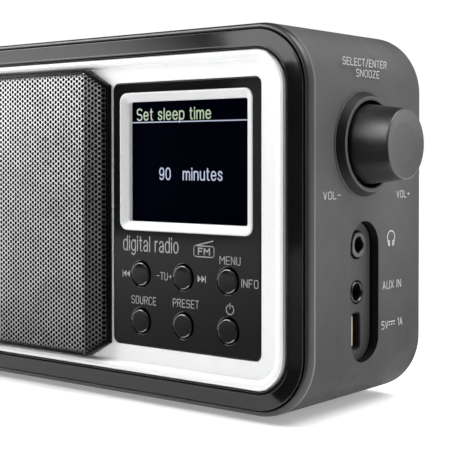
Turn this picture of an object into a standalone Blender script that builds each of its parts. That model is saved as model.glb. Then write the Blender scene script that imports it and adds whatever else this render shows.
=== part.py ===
"""Tabletop digital radio: rounded sleeve cabinet, perforated grille, display panel, side knob, rear aerial."""
import math

import bmesh
import bpy
from mathutils import Matrix, Vector

MM = 0.001

# Driving sizes, millimetres. X runs to the right end, Y to the back, Z up from the table.
WIDTH = 190.0
DEPTH = 58.5
HEIGHT = 110.3
FOOT_HEIGHT = 1.5
WALL = 2.5
CORNER = 18.0
KNOB_REACH = 14.0          # knob face out from the side of the cabinet
GRILLE_STAND = 4.4         # grille face out from the bezel flat
AERIAL_STAND = 8.9         # aerial out from the rear cover

# Offsets that put the middle of the whole object over the origin.
SHIFT_X = -KNOB_REACH / 2
SHIFT_Y = -(DEPTH + AERIAL_STAND - GRILLE_STAND) / 2

RIGHT = WIDTH / 2
BASE_Z = FOOT_HEIGHT
MID_Z = (HEIGHT + BASE_Z) / 2
BODY_H = HEIGHT - BASE_Z

# Front bands, measured in from the cabinet outline.
RIM = 1.8
BEZEL_IN = 7.3
RIDGE_IN = 10.3

# Control panel and display
PANEL_W = 56.6
PANEL_H = 78.2
PANEL_X = RIGHT - 44.5
PANEL_Z = 56.2
SCREEN_W = 51.0
SCREEN_H = 41.1
SCREEN_Z = 71.9
KEY_PITCH_X = 16.8
KEY_PITCH_Z = 14.0
KEY_TOP_Z = 38.5
KEY_RADIUS = 3.65
KEY_TRAVEL = 0.6

# Grille
GRILLE_RIGHT = RIGHT - 73.6
GRILLE_LEFT = -RIGHT + 11.4
GRILLE_H = 87.6
GRILLE_END_H = 78.2
GRILLE_FACET = 8.3
GRILLE_END_STAND = 3.15
SPEAKER_X = (GRILLE_RIGHT + GRILLE_LEFT) / 2

# Side controls
KNOB_Y = 26.5
KNOB_Z = 76.9
COLLAR_BASE = 14.9
COLLAR_TOP = 13.5
COLLAR_HOLE = 12.3
COLLAR_RISE = 2.8
RECESS_Y = 27.1
RECESS_Z = 35.0
RECESS_W = 14.6
RECESS_H = 40.2
SOCKET_Y = 27.3
PHONES_Z = 48.3
AUX_Z = 34.7
USB_Z = 23.6

# Aerial
AERIAL_Z = 97.0
AERIAL_X = RIGHT - 16.0
ROD_Y = DEPTH + 6.2


def clear_scene():
    for obj in list(bpy.data.objects):
        bpy.data.objects.remove(obj, do_unlink=True)


def material(name, colour, roughness, metallic=0.0):
    mat = bpy.data.materials.new(name)
    mat.use_nodes = True
    shader = mat.node_tree.nodes["Principled BSDF"]
    shader.inputs["Base Color"].default_value = (*colour, 1.0)
    shader.inputs["Roughness"].default_value = roughness
    shader.inputs["Metallic"].default_value = metallic
    return mat


def finish(name, mesh_builder, mat, origin=(0.0, 0.0, 0.0), smooth=30.0):
    """Close a bmesh given in millimetres into a named object whose origin is at the given point."""
    bmesh.ops.recalc_face_normals(mesh_builder, faces=mesh_builder.faces)
    bmesh.ops.transform(mesh_builder, matrix=Matrix.Translation(-Vector(origin)), verts=mesh_builder.verts)
    bmesh.ops.scale(mesh_builder, vec=(MM, MM, MM), verts=mesh_builder.verts)
    mesh = bpy.data.meshes.new(name)
    mesh_builder.to_mesh(mesh)
    mesh_builder.free()
    mesh.materials.append(mat)
    obj = bpy.data.objects.new(name, mesh)
    bpy.context.collection.objects.link(obj)
    obj.location = ((origin[0] + SHIFT_X) * MM, (origin[1] + SHIFT_Y) * MM, origin[2] * MM)
    mesh.shade_smooth()
    mesh.set_sharp_from_angle(angle=math.radians(smooth))
    return obj


def outline(width, height, radius, segments):
    """Rounded rectangle as (u, v) pairs, anticlockwise from the right-hand side."""
    radius = max(min(radius, width / 2 - 0.01, height / 2 - 0.01), 0.15)
    points = []
    corners = ((1, 1, 0), (-1, 1, 90), (-1, -1, 180), (1, -1, 270))
    for sx, sy, start in corners:
        cx = sx * (width / 2 - radius)
        cy = sy * (height / 2 - radius)
        for step in range(segments + 1):
            angle = math.radians(start + 90.0 * step / segments)
            points.append((cx + radius * math.cos(angle), cy + radius * math.sin(angle)))
    return points


def axis_point(axis, u, v, along):
    """Place a section point: u and v across, along the named axis."""
    if axis == "x":
        return Vector((along, u, v))
    if axis == "y":
        return Vector((u, along, v))
    return Vector((u, v, along))


def loft(bm, axis, centre, sections, segments=6, closed=False):
    """Skin rounded rectangles (width, height, radius, along); closed makes a frame, open gets end caps."""
    rings = []
    for width, height, radius, along in sections:
        ring = []
        for u, v in outline(width, height, radius, segments):
            ring.append(bm.verts.new(axis_point(axis, u + centre[0], v + centre[1], along)))
        rings.append(ring)
    pairs = list(zip(rings, rings[1:]))
    if closed:
        pairs.append((rings[-1], rings[0]))
    count = len(rings[0])
    for first, second in pairs:
        for i in range(count):
            j = (i + 1) % count
            bm.faces.new((first[i], first[j], second[j], second[i]))
    if not closed:
        bm.faces.new(rings[0])
        bm.faces.new(rings[-1])


def turned(bm, axis, centre, profile, segments=32, closed=False):
    """Turn (radius, along) points about the named axis; closed makes a ring, open ends on the axis."""
    rings = []
    for radius, along in profile:
        if radius <= 0.0:
            rings.append([bm.verts.new(axis_point(axis, centre[0], centre[1], along))])
            continue
        ring = []
        for step in range(segments):
            angle = 2 * math.pi * step / segments
            u = centre[0] + radius * math.cos(angle)
            v = centre[1] + radius * math.sin(angle)
            ring.append(bm.verts.new(axis_point(axis, u, v, along)))
        rings.append(ring)
    pairs = list(zip(rings, rings[1:]))
    if closed:
        pairs.append((rings[-1], rings[0]))
    for first, second in pairs:
        for i in range(segments):
            j = (i + 1) % segments
            if len(first) == 1:
                bm.faces.new((first[0], second[j], second[i]))
            elif len(second) == 1:
                bm.faces.new((first[i], first[j], second[0]))
            else:
                bm.faces.new((first[i], first[j], second[j], second[i]))


def block(bm, low, high):
    """Axis-aligned box between two corners."""
    made = bmesh.ops.create_cube(bm, size=1.0)
    low = Vector(low)
    high = Vector(high)
    size = high - low
    bmesh.ops.scale(bm, vec=size, verts=made["verts"])
    bmesh.ops.translate(bm, vec=(low + high) / 2, verts=made["verts"])


def box_node(name, low, high, mat, bevel=0.3):
    bm = bmesh.new()
    block(bm, low, high)
    if bevel:
        bmesh.ops.bevel(bm, geom=bm.edges[:], offset=bevel, segments=1, affect="EDGES")
    return finish(name, bm, mat)


def loft_node(name, axis, centre, sections, mat, segments=6, closed=False, origin=(0.0, 0.0, 0.0), smooth=30.0):
    bm = bmesh.new()
    loft(bm, axis, centre, sections, segments, closed)
    return finish(name, bm, mat, origin, smooth)


def turned_node(name, axis, centre, profile, mat, segments=32, closed=False, origin=(0.0, 0.0, 0.0)):
    bm = bmesh.new()
    turned(bm, axis, centre, profile, segments, closed)
    return finish(name, bm, mat, origin)


def cut(obj, tool_name, fill):
    """Subtract a tool shape that the fill function draws into a fresh bmesh."""
    bm = bmesh.new()
    fill(bm)
    tool = finish(tool_name, bm, obj.data.materials[0])
    tool.hide_render = True
    tool.display_type = "WIRE"
    modifier = obj.modifiers.new(tool_name, "BOOLEAN")
    modifier.operation = "DIFFERENCE"
    modifier.solver = "EXACT"
    modifier.object = tool


def join_on(obj, tool_name, fill):
    """Add a lug that the fill function draws, so the node stays one body."""
    bm = bmesh.new()
    fill(bm)
    tool = finish(tool_name, bm, obj.data.materials[0])
    tool.hide_render = True
    tool.display_type = "WIRE"
    modifier = obj.modifiers.new(tool_name, "BOOLEAN")
    modifier.operation = "UNION"
    modifier.solver = "EXACT"
    modifier.object = tool


def inset(amount, along, radius=None):
    """Section of the cabinet outline taken in by an amount."""
    corner = CORNER - amount if radius is None else radius
    return (WIDTH - 2 * amount, BODY_H - 2 * amount, corner, along)


def cabinet(mat):
    back = DEPTH
    sections = [
        inset(RIM, 6.0),
        inset(RIM, 0.5),
        inset(1.55, 0.15),
        inset(1.1, 0.05),
        inset(0.55, 0.35),
        inset(0.15, 1.0),
        inset(0.0, 2.0),
        inset(0.0, back - 1.0),
        inset(0.6, back),
        inset(WALL, back),
        inset(WALL, 6.0),
    ]
    obj = loft_node("cabinet_shell", "y", (0.0, MID_Z), sections, mat, 10, True)

    def knob_hole(bm):
        turned(bm, "x", (KNOB_Y, KNOB_Z), hole_profile(COLLAR_TOP + 0.2, RIGHT - 6, RIGHT + 6), 40)

    def recess_hole(bm):
        ends = ((RECESS_W, RECESS_H, RECESS_W / 2, RIGHT - 6), (RECESS_W, RECESS_H, RECESS_W / 2, RIGHT + 6))
        loft(bm, "x", (RECESS_Y, RECESS_Z), ends, 8)

    cut(obj, "knob_hole_tool", knob_hole)
    cut(obj, "recess_hole_tool", recess_hole)
    return obj


def hole_profile(radius, start, end):
    return ((0.0, start), (radius, start), (radius, end), (0.0, end))


def rear_cover(mat):
    gap = WALL + 0.3
    bm = bmesh.new()
    sections = (inset(gap, DEPTH - 3.0), inset(gap, DEPTH - 0.9), inset(gap + 0.4, DEPTH - 0.5))
    loft(bm, "y", (0.0, MID_Z), sections, 8)
    obj = finish("rear_cover", bm, mat)

    def slots(bm):
        for row in range(5):
            z = 44.0 + row * 7.0
            block(bm, (-78.0, DEPTH - 5, z), (-42.0, DEPTH + 1, z + 2.2))

    def screw_holes(bm):
        for x, z in screw_places():
            turned(bm, "y", (x, z), hole_profile(1.9, DEPTH - 5, DEPTH + 1), 16)

    cut(obj, "sound_slot_tool", slots)
    cut(obj, "screw_hole_tool", screw_holes)
    return obj


def screw_places():
    places = []
    for x in (-82.0, 82.0):
        for z in (14.0, 86.0):
            places.append((x, z))
    return places


def screws(mat):
    for number, (x, z) in enumerate(screw_places(), 1):
        profile = (
            (0.0, DEPTH - 12.0),
            (1.0, DEPTH - 11.0),
            (1.2, DEPTH - 10.5),
            (1.2, DEPTH - 1.6),
            (1.6, DEPTH - 1.6),
            (1.6, DEPTH - 0.9),
            (0.9, DEPTH - 0.9),
            (0.7, DEPTH - 1.4),
            (0.0, DEPTH - 1.4),
        )
        turned_node(f"cover_screw_{number}", "y", (x, z), profile, mat, 12)


def front_frame(mat):
    sections = [
        inset(RIM + 0.25, 5.5),
        inset(RIM + 0.25, 0.9),
        inset(RIM + 0.6, 0.35),
        inset(RIM + 1.4, -0.05),
        inset(RIM + 2.6, -0.35),
        inset(RIM + 4.2, -0.6),
        inset(BEZEL_IN - 0.4, -0.65),
        inset(BEZEL_IN - 0.12, -0.3),
        inset(BEZEL_IN - 0.12, 5.5),
    ]
    loft_node("front_frame", "y", (0.0, MID_Z), sections, mat, 10, True)


def bezel(mat):
    """Silver bezel: rounded lip, ridge and a flat that carries the grille, with its openings cut through."""
    flat_w = WIDTH - 2 * (RIDGE_IN + 0.9)
    flat_h = BODY_H - 2 * RIDGE_IN
    sections = (
        inset(BEZEL_IN + 0.1, 3.0),
        inset(BEZEL_IN + 0.1, -0.3),
        inset(BEZEL_IN + 0.45, -1.0),
        inset(BEZEL_IN + 1.2, -1.5),
        inset(BEZEL_IN + 2.2, -1.35),
        inset(BEZEL_IN + 2.7, -0.8),
        (flat_w + 0.5, flat_h + 0.3, 7.4, -0.45),
        (flat_w, flat_h, 7.2, 0.0),
    )
    bm = bmesh.new()
    loft(bm, "y", (0.0, MID_Z), sections, 10)
    obj = finish("bezel", bm, mat)

    def panel_hole(bm):
        ends = []
        for along in (-4.0, 6.0):
            ends.append((PANEL_W + 0.4, PANEL_H + 0.4, 2.2, along))
        loft(bm, "y", (PANEL_X, PANEL_Z), ends, 4)

    def speaker_hole(bm):
        turned(bm, "y", (SPEAKER_X, MID_Z), hole_profile(28.5, -4.0, 6.0), 40)

    cut(obj, "panel_hole_tool", panel_hole)
    cut(obj, "speaker_hole_tool", speaker_hole)
    return obj


def key_places():
    places = []
    for row in (0, 1):
        for column in (-1, 0, 1):
            places.append((PANEL_X + column * KEY_PITCH_X, KEY_TOP_Z - row * KEY_PITCH_Z))
    return places


def control_panel(mat):
    ends = (
        (PANEL_W, PANEL_H, 2.0, 1.8),
        (PANEL_W, PANEL_H, 2.0, 0.05),
        (PANEL_W - 0.4, PANEL_H - 0.4, 1.8, -0.2),
    )
    obj = loft_node("control_panel", "y", (PANEL_X, PANEL_Z), ends, mat, 4)

    def screen_hole(bm):
        sides = []
        for along in (-3.0, 4.0):
            sides.append((SCREEN_W + 0.3, SCREEN_H + 0.3, 2.9, along))
        loft(bm, "y", (PANEL_X, SCREEN_Z), sides, 4)

    def key_holes(bm):
        for x, z in key_places():
            turned(bm, "y", (x, z), hole_profile(KEY_RADIUS + 0.55, -3.0, 4.0), 24)

    cut(obj, "screen_hole_tool", screen_hole)
    cut(obj, "key_hole_tool", key_holes)
    return obj


def screen_frame(mat):
    window_w = SCREEN_W - 5.4
    window_h = SCREEN_H - 5.4
    sections = (
        (SCREEN_W, SCREEN_H, 2.8, 2.4),
        (SCREEN_W, SCREEN_H, 2.8, -0.2),
        (SCREEN_W - 0.4, SCREEN_H - 0.4, 2.6, -0.4),
        (SCREEN_W - 1.2, SCREEN_H - 1.2, 2.2, -0.4),
        (window_w + 0.6, window_h + 0.6, 1.0, 0.8),
        (window_w, window_h, 0.8, 1.0),
        (window_w, window_h, 0.8, 2.4),
    )
    loft_node("lcd_frame", "y", (PANEL_X, SCREEN_Z), sections, mat, 4, True)


def display(glass, frame_mat, flex_mat):
    x = PANEL_X
    z = SCREEN_Z
    half_w = SCREEN_W / 2 - 1.0
    half_h = SCREEN_H / 2 - 1.0
    box_node("display_window", (x - half_w, 2.7, z - half_h), (x + half_w, 3.5, z + half_h), glass, 0.15)
    box_node("lcd_module", (x - half_w, 3.8, z - half_h), (x + half_w, 7.0, z + half_h), frame_mat, 0.3)
    path = ((7.3, z - 17.0), (8.1, z - 17.0), (8.1, z - 20.9), (33.0, z - 20.9), (33.0, z - 18.0), (37.2, z - 18.0))
    back = ((37.2, z - 17.7), (32.7, z - 17.7), (32.7, z - 20.6), (8.4, z - 20.6), (8.4, z - 16.7), (7.3, z - 16.7))
    bm = bmesh.new()
    sides = []
    for side in (x - 8.0, x + 8.0):
        sides.append([bm.verts.new((side, px, pz)) for px, pz in path + back])
    bm.faces.new(sides[0])
    bm.faces.new(sides[1])
    count = len(sides[0])
    for i in range(count):
        j = (i + 1) % count
        bm.faces.new((sides[0][i], sides[0][j], sides[1][j], sides[1][i]))
    finish("lcd_ribbon", bm, flex_mat)


def keys(mat):
    for number, (x, z) in enumerate(key_places(), 1):
        profile = (
            (0.0, 6.7),
            (1.4, 6.7),
            (1.4, 3.2),
            (4.9, 3.2),
            (4.9, 2.2),
            (KEY_RADIUS, 2.2),
            (KEY_RADIUS, -1.05),
            (KEY_RADIUS - 0.25, -1.45),
            (KEY_RADIUS - 0.75, -1.6),
            (0.0, -1.7),
        )
        turned_node(f"button_{number}", "y", (x, z), profile, mat, 28, False, (x, 0.0, z))


def button_board(board, switch):
    z_low = PANEL_Z - PANEL_H / 2 + 1.0
    low = (PANEL_X - PANEL_W / 2 + 1, 9.6, z_low)
    high = (PANEL_X + PANEL_W / 2 - 1, 11.2, 47.0)
    box_node("button_board", low, high, board, 0.0)
    for number, (x, z) in enumerate(key_places(), 1):
        bm = bmesh.new()
        sections = (
            (6.0, 6.0, 0.5, 9.4),
            (6.0, 6.0, 0.5, 7.9),
            (3.2, 3.2, 1.5, 7.85),
            (3.0, 3.0, 1.4, 7.4),
        )
        loft(bm, "y", (x, z), sections, 3)
        finish(f"tact_switch_{number}", bm, switch)


def grille_ring(bm, taken_x, taken_z, lift_end, lift_flat):
    """One level of the grille cover: eight points, lower and shorter at its two ends than along its flat."""
    centre = (GRILLE_LEFT + GRILLE_RIGHT) / 2
    half = (GRILLE_RIGHT - GRILLE_LEFT) / 2
    end = (half - taken_x, GRILLE_END_H / 2 - taken_z, -lift_end)
    flat = (half - GRILLE_FACET, GRILLE_H / 2 - taken_z, -lift_flat)
    ring = []
    for sx, sz, points in ((1, 1, (end, flat)), (-1, 1, (flat, end)), (-1, -1, (end, flat)), (1, -1, (flat, end))):
        for x, z, y in points:
            ring.append(bm.verts.new((centre + sx * x, y, MID_Z + sz * z)))
    return ring


def grille(mat):
    """Perforated cover drawn as a plain sheet: flat face, a shallow facet at each end, rounded turn-ins."""
    stand = GRILLE_STAND
    end = GRILLE_END_STAND
    levels = (
        (0.0, 0.0, 0.15, 0.15),
        (0.0, 0.0, end - 1.9, stand - 1.2),
        (0.4, 0.3, end - 1.0, stand - 0.4),
        (1.3, 0.8, end - 0.3, stand - 0.1),
        (2.4, 1.4, end, stand),
        (2.6, 1.9, end - 0.7, stand - 0.7),
        (1.8, 1.4, end - 1.0, stand - 0.8),
        (1.1, 1.0, end - 1.6, stand - 1.1),
        (0.7, 0.7, end - 2.2, stand - 1.6),
        (0.7, 0.7, 0.15, 0.15),
    )
    bm = bmesh.new()
    rings = [grille_ring(bm, *level) for level in levels]
    for k, ring in enumerate(rings):
        if k == 4:
            continue
        following = rings[(k + 1) % len(rings)]
        for i in range(8):
            j = (i + 1) % 8
            bm.faces.new((ring[i], ring[j], following[j], following[i]))
    for ring in rings[4:6]:
        bm.faces.new((ring[0], ring[1], ring[6], ring[7]))
        bm.faces.new((ring[1], ring[2], ring[5], ring[6]))
        bm.faces.new((ring[2], ring[3], ring[4], ring[5]))
    finish("speaker_grille", bm, mat)


def speaker(basket, magnet, paper, rubber, cloth):
    c = (SPEAKER_X, MID_Z)
    half_w = (GRILLE_RIGHT - GRILLE_LEFT) / 2 - 3.0
    half_h = PANEL_H / 2 - 3.0
    cx = (GRILLE_LEFT + GRILLE_RIGHT) / 2
    box_node("grille_cloth", (cx - half_w, -0.9, MID_Z - half_h), (cx + half_w, -0.3, MID_Z + half_h), cloth, 0.1)
    rim = (
        (27.6, 3.4), (33.0, 3.4), (33.0, 4.6), (27.9, 4.6), (24.0, 11.0), (15.0, 17.0), (10.0, 17.0),
        (10.0, 15.8), (14.6, 15.8), (22.9, 10.2), (26.6, 4.6),
    )
    turned_node("speaker_basket", "y", c, rim, basket, 26, True)
    turned_node("speaker_magnet", "y", c, ((0.0, 17.3), (20.0, 17.3), (20.5, 17.8), (20.5, 26.5), (20.0, 27.0),
                                           (0.0, 27.0)), magnet, 26)
    roll = ((26.3, 3.0), (27.2, 3.0), (27.2, 2.4), (25.9, 1.0), (24.4, 0.8), (23.0, 1.7), (22.6, 3.0), (23.1, 3.2),
            (23.5, 2.0), (24.6, 1.3), (25.6, 1.5), (26.3, 2.6))
    turned_node("speaker_surround", "y", c, roll, rubber, 26, True)
    cone = ((0.0, 6.6), (4.0, 7.0), (7.0, 8.6), (22.2, 3.3), (22.2, 3.9), (7.0, 9.4), (6.9, 14.8), (0.0, 14.8))
    turned_node("speaker_cone", "y", c, cone, paper, 26)


def inside_boards(board, can, dark, copper):
    box_node("main_board", (8.0, 38.0, 12.0), (78.0, 39.6, 88.0), board, 0.0)
    box_node("tuner_can", (14.0, 32.5, 60.0), (34.0, 37.7, 80.0), can, 0.4)
    box_node("amplifier_heat_plate", (14.0, 33.5, 20.0), (30.0, 37.7, 36.0), copper, 0.3)
    box_node("main_chip", (61.0, 35.8, 66.0), (75.0, 37.7, 80.0), dark, 0.2)
    box_node("jack_board", (RIGHT - 20.0, 18.0, 14.5), (RIGHT - 18.4, 37.0, 55.0), board, 0.0)


def battery(tray, sleeve):
    low = (-84.0, 33.0, 6.0)
    high = (-4.0, 54.6, 8.0)
    box_node("battery_tray", low, high, tray, 0.3)
    bm = bmesh.new()
    ends = ((18.6, 18.6, 8.0, -80.0), (19.2, 19.2, 8.4, -79.5), (19.2, 19.2, 8.4, -8.5), (18.6, 18.6, 8.0, -8.0))
    loft(bm, "x", (44.0, 18.0), ends, 5)
    finish("battery_pack", bm, sleeve)


def socket_plate(mat):
    x1 = RIGHT - WALL - 0.3
    x0 = x1 - 1.8
    ends = []
    for along in (x0, x1):
        ends.append((RECESS_W - 0.4, RECESS_H - 0.4, RECESS_W / 2 - 0.2, along))
    obj = loft_node("socket_plate", "x", (RECESS_Y, RECESS_Z), ends, mat, 8)

    def holes(bm):
        turned(bm, "x", (SOCKET_Y, PHONES_Z), hole_profile(4.15, x0 - 2, x1 + 2), 28)
        turned(bm, "x", (SOCKET_Y, AUX_Z), hole_profile(3.45, x0 - 2, x1 + 2), 28)
        loft(bm, "x", (SOCKET_Y - 0.4, USB_Z), ((4.5, 10.6, 1.2, x0 - 2), (4.5, 10.6, 1.2, x1 + 2)), 3)

    cut(obj, "socket_hole_tool", holes)
    return obj


def jacks(nickel, dark, steel):
    floor = RIGHT - WALL - 0.3
    rear = RIGHT - 18.1
    for name, z, ring, hole, out in (("headphone_jack", PHONES_Z, 3.7, 2.2, 0.9), ("aux_jack", AUX_Z, 3.1, 2.2, 0.2)):
        bm = bmesh.new()
        block(bm, (rear, SOCKET_Y - 4.8, z - 4.8), (floor - 2.1, SOCKET_Y + 4.8, z + 4.8))
        obj = finish(name, bm, nickel if name == "headphone_jack" else dark)

        def nose(bm, z=z, ring=ring, out=out):
            turned(bm, "x", (SOCKET_Y, z), hole_profile_bevel(ring, floor - 4.0, floor + out), 28)

        def bore(bm, z=z, hole=hole):
            turned(bm, "x", (SOCKET_Y, z), hole_profile(hole, floor - 13.0, floor + 4.0), 24)

        join_on(obj, f"{name}_nose_tool", nose)
        cut(obj, f"{name}_bore_tool", bore)
    y = SOCKET_Y - 0.4
    shell = (
        (4.3, 10.3, 1.1, floor - 8.0),
        (4.3, 10.3, 1.1, floor - 0.4),
        (3.7, 9.7, 0.9, floor - 0.4),
        (3.7, 9.7, 0.9, floor - 7.4),
        (0.9, 7.4, 0.3, floor - 7.4),
        (0.9, 7.4, 0.3, floor - 1.6),
    )
    loft_node("usb_socket", "x", (y, USB_Z), shell, steel, 3)


def hole_profile_bevel(radius, start, end):
    return ((0.0, start), (radius, start), (radius, end - 0.3), (radius - 0.3, end), (0.0, end))


def knob_parts(collar_mat, knob_mat, metal, dark):
    c = (KNOB_Y, KNOB_Z)
    side = RIGHT
    ring = (
        (COLLAR_HOLE, side - 3.4),
        (COLLAR_TOP, side - 3.4),
        (COLLAR_TOP, side + 0.15),
        (COLLAR_BASE, side + 0.15),
        (COLLAR_BASE, side + 0.4),
        (COLLAR_TOP + 0.15, side + COLLAR_RISE - 0.35),
        (COLLAR_TOP - 0.1, side + COLLAR_RISE),
        (COLLAR_HOLE + 0.25, side + COLLAR_RISE),
        (COLLAR_HOLE, side + COLLAR_RISE - 0.3),
    )
    turned_node("knob_collar", "x", c, ring, collar_mat, 40, True)
    origin = (side, KNOB_Y, KNOB_Z)
    face = side + KNOB_REACH
    body = (
        (0.0, side + 1.6),
        (3.6, side + 1.6),
        (3.6, side - 1.6),
        (5.2, side - 1.6),
        (5.2, side + 0.6),
        (11.6, side + 0.6),
        (11.75, side + 1.2),
        (11.5, side + 3.6),
        (10.45, face - 1.5),
        (10.15, face - 0.45),
        (9.8, face - 0.05),
        (9.5, face),
        (8.6, face - 0.3),
        (6.0, face - 0.8),
        (3.0, face - 1.05),
        (0.0, face - 1.15),
    )
    turned_node("knob", "x", c, body, knob_mat, 40, False, origin)
    shaft = ((0.0, side - 9.0), (2.9, side - 9.0), (3.2, side - 8.6), (3.2, side + 1.2), (0.0, side + 1.2))
    turned_node("encoder_shaft", "x", c, shaft, metal, 24, False, origin)
    plunger = ((0.0, side - 12.6), (2.4, side - 12.6), (2.4, side - 9.3), (0.0, side - 9.3))
    turned_node("encoder_plunger", "x", c, plunger, dark, 20, False, origin)
    bm = bmesh.new()
    block(bm, (side - 15.0, KNOB_Y - 7.0, KNOB_Z - 7.0), (side - 5.0, KNOB_Y + 7.0, KNOB_Z + 7.0))
    obj = finish("encoder_body", bm, metal)

    def well(bm):
        turned(bm, "x", c, hole_profile(3.5, side - 13.8, side - 2.0), 24)

    cut(obj, "encoder_well_tool", well)


def foot_places():
    places = []
    for x in (-72.0, 72.0):
        for y in (12.0, DEPTH - 12.0):
            places.append((x, y))
    return places


def feet(mat):
    for number, (x, y) in enumerate(foot_places(), 1):
        profile = ((0.0, 0.0), (4.6, 0.0), (5.0, 0.4), (5.0, FOOT_HEIGHT - 0.1), (0.0, FOOT_HEIGHT - 0.1))
        turned_node(f"foot_{number}", "z", (x, y), profile, mat, 20)


def aerial(plastic, chrome, steel):
    """Rear telescopic aerial lying level behind the cover, its rod running to the left."""
    back = DEPTH - 0.5
    c = (AERIAL_X, AERIAL_Z)
    base = ((0.0, back + 0.2), (6.6, back + 0.2), (6.6, back + 1.2), (6.2, back + 1.6), (0.0, back + 1.6))
    turned_node("aerial_base", "y", c, base, plastic, 24)
    origin = (AERIAL_X, ROD_Y, AERIAL_Z)
    bm = bmesh.new()
    turned(bm, "y", c, hole_profile(5.6, back + 1.8, back + 3.2), 24)
    fork = finish("aerial_swivel", bm, plastic, origin)

    def cheeks(bm):
        for side in (-1, 1):
            z = AERIAL_Z + side * 3.9
            block(bm, (AERIAL_X - 2.6, back + 2.4, z - 0.9), (AERIAL_X + 2.6, ROD_Y + 2.6, z + 0.9))

    def pin_hole(bm):
        turned(bm, "z", (AERIAL_X, ROD_Y), hole_profile(1.3, AERIAL_Z - 8, AERIAL_Z + 8), 16)

    join_on(fork, "aerial_cheek_tool", cheeks)
    cut(fork, "aerial_pin_hole_tool", pin_hole)

    start = AERIAL_X + 2.0
    end = AERIAL_X - 128.0
    rod = (ROD_Y, AERIAL_Z)
    tube = (
        (0.0, start),
        (2.4, start),
        (2.6, start - 0.3),
        (2.6, end),
        (2.2, end),
        (2.2, start - 9.0),
        (0.0, start - 9.0),
    )
    root = turned_node("aerial_section_1", "x", rod, tube, chrome, 20, False, origin)

    def pin(bm):
        turned(bm, "z", (AERIAL_X, ROD_Y), hole_profile(1.1, AERIAL_Z - 4.6, AERIAL_Z + 4.6), 14)

    join_on(root, "aerial_pin_tool", pin)
    inner_start = start - 9.3
    sizes = ((2, 2.05, 1.7, 0.3), (3, 1.55, 1.2, 1.6))
    for number, outer, bore, step in sizes:
        first = inner_start - step
        profile = (
            (0.0, first),
            (outer, first),
            (outer, end - step * 2),
            (bore, end - step * 2),
            (bore, first - 1.0),
            (0.0, first - 1.0),
        )
        turned_node(f"aerial_section_{number}", "x", rod, profile, chrome, 20, False, (first, *rod))
    first = inner_start - 2.9
    tip = (
        (0.0, first),
        (1.05, first),
        (1.05, end - 3.4),
        (2.5, end - 3.4),
        (2.7, end - 3.8),
        (2.7, end - 6.2),
        (2.2, end - 7.0),
        (0.0, end - 7.2),
    )
    turned_node("aerial_tip", "x", rod, tip, steel, 20, False, (first, *rod))


def build():
    clear_scene()
    cabinet_grey = material("cabinet_grey", (0.12, 0.12, 0.122), 0.55)
    cover_black = material("cover_black", (0.03, 0.03, 0.032), 0.6)
    gloss_black = material("gloss_black", (0.008, 0.008, 0.009), 0.08)
    silver_paint = material("silver_paint", (0.82, 0.83, 0.85), 0.35)
    frame_silver = material("frame_silver", (0.7, 0.71, 0.73), 0.35)
    grille_metal = material("grille_metal", (0.42, 0.42, 0.44), 0.35, 1.0)
    cloth_black = material("cloth_black", (0.012, 0.012, 0.012), 0.95)
    clear_window = material("window_dark", (0.01, 0.014, 0.035), 0.06)
    module_grey = material("module_grey", (0.3, 0.31, 0.33), 0.5)
    flex_amber = material("flex_amber", (0.45, 0.2, 0.03), 0.4)
    board_green = material("board_green", (0.02, 0.12, 0.05), 0.5)
    switch_black = material("switch_black", (0.02, 0.02, 0.02), 0.5)
    can_steel = material("can_steel", (0.6, 0.6, 0.6), 0.3, 1.0)
    copper_plate = material("copper_plate", (0.6, 0.3, 0.18), 0.35, 1.0)
    magnet_grey = material("magnet_grey", (0.06, 0.06, 0.065), 0.6)
    cone_paper = material("cone_paper", (0.03, 0.028, 0.026), 0.9)
    rubber_black = material("rubber_black", (0.015, 0.015, 0.015), 0.75)
    sleeve_blue = material("sleeve_blue", (0.03, 0.08, 0.3), 0.4)
    knob_grey = material("knob_grey", (0.04, 0.04, 0.042), 0.32)
    nickel = material("nickel", (0.35, 0.35, 0.36), 0.35, 1.0)
    chrome = material("chrome", (0.75, 0.75, 0.77), 0.12, 1.0)
    usb_steel = material("usb_steel", (0.6, 0.55, 0.48), 0.3, 1.0)

    cabinet(cabinet_grey)
    rear_cover(cover_black)
    screws(can_steel)
    front_frame(gloss_black)
    bezel(silver_paint)
    control_panel(gloss_black)
    screen_frame(frame_silver)
    display(clear_window, module_grey, flex_amber)
    keys(gloss_black)
    button_board(board_green, switch_black)
    grille(grille_metal)
    speaker(can_steel, magnet_grey, cone_paper, rubber_black, cloth_black)
    inside_boards(board_green, can_steel, switch_black, copper_plate)
    battery(cover_black, sleeve_blue)
    socket_plate(cabinet_grey)
    jacks(nickel, switch_black, usb_steel)
    knob_parts(cabinet_grey, knob_grey, can_steel, switch_black)
    feet(rubber_black)
    aerial(cover_black, chrome, chrome)


build()
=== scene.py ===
# Looks for a small tabletop digital radio: finishes, fine shapes, lettering, camera and light.
import math

import bmesh
import bpy
from mathutils import Matrix, Vector

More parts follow.
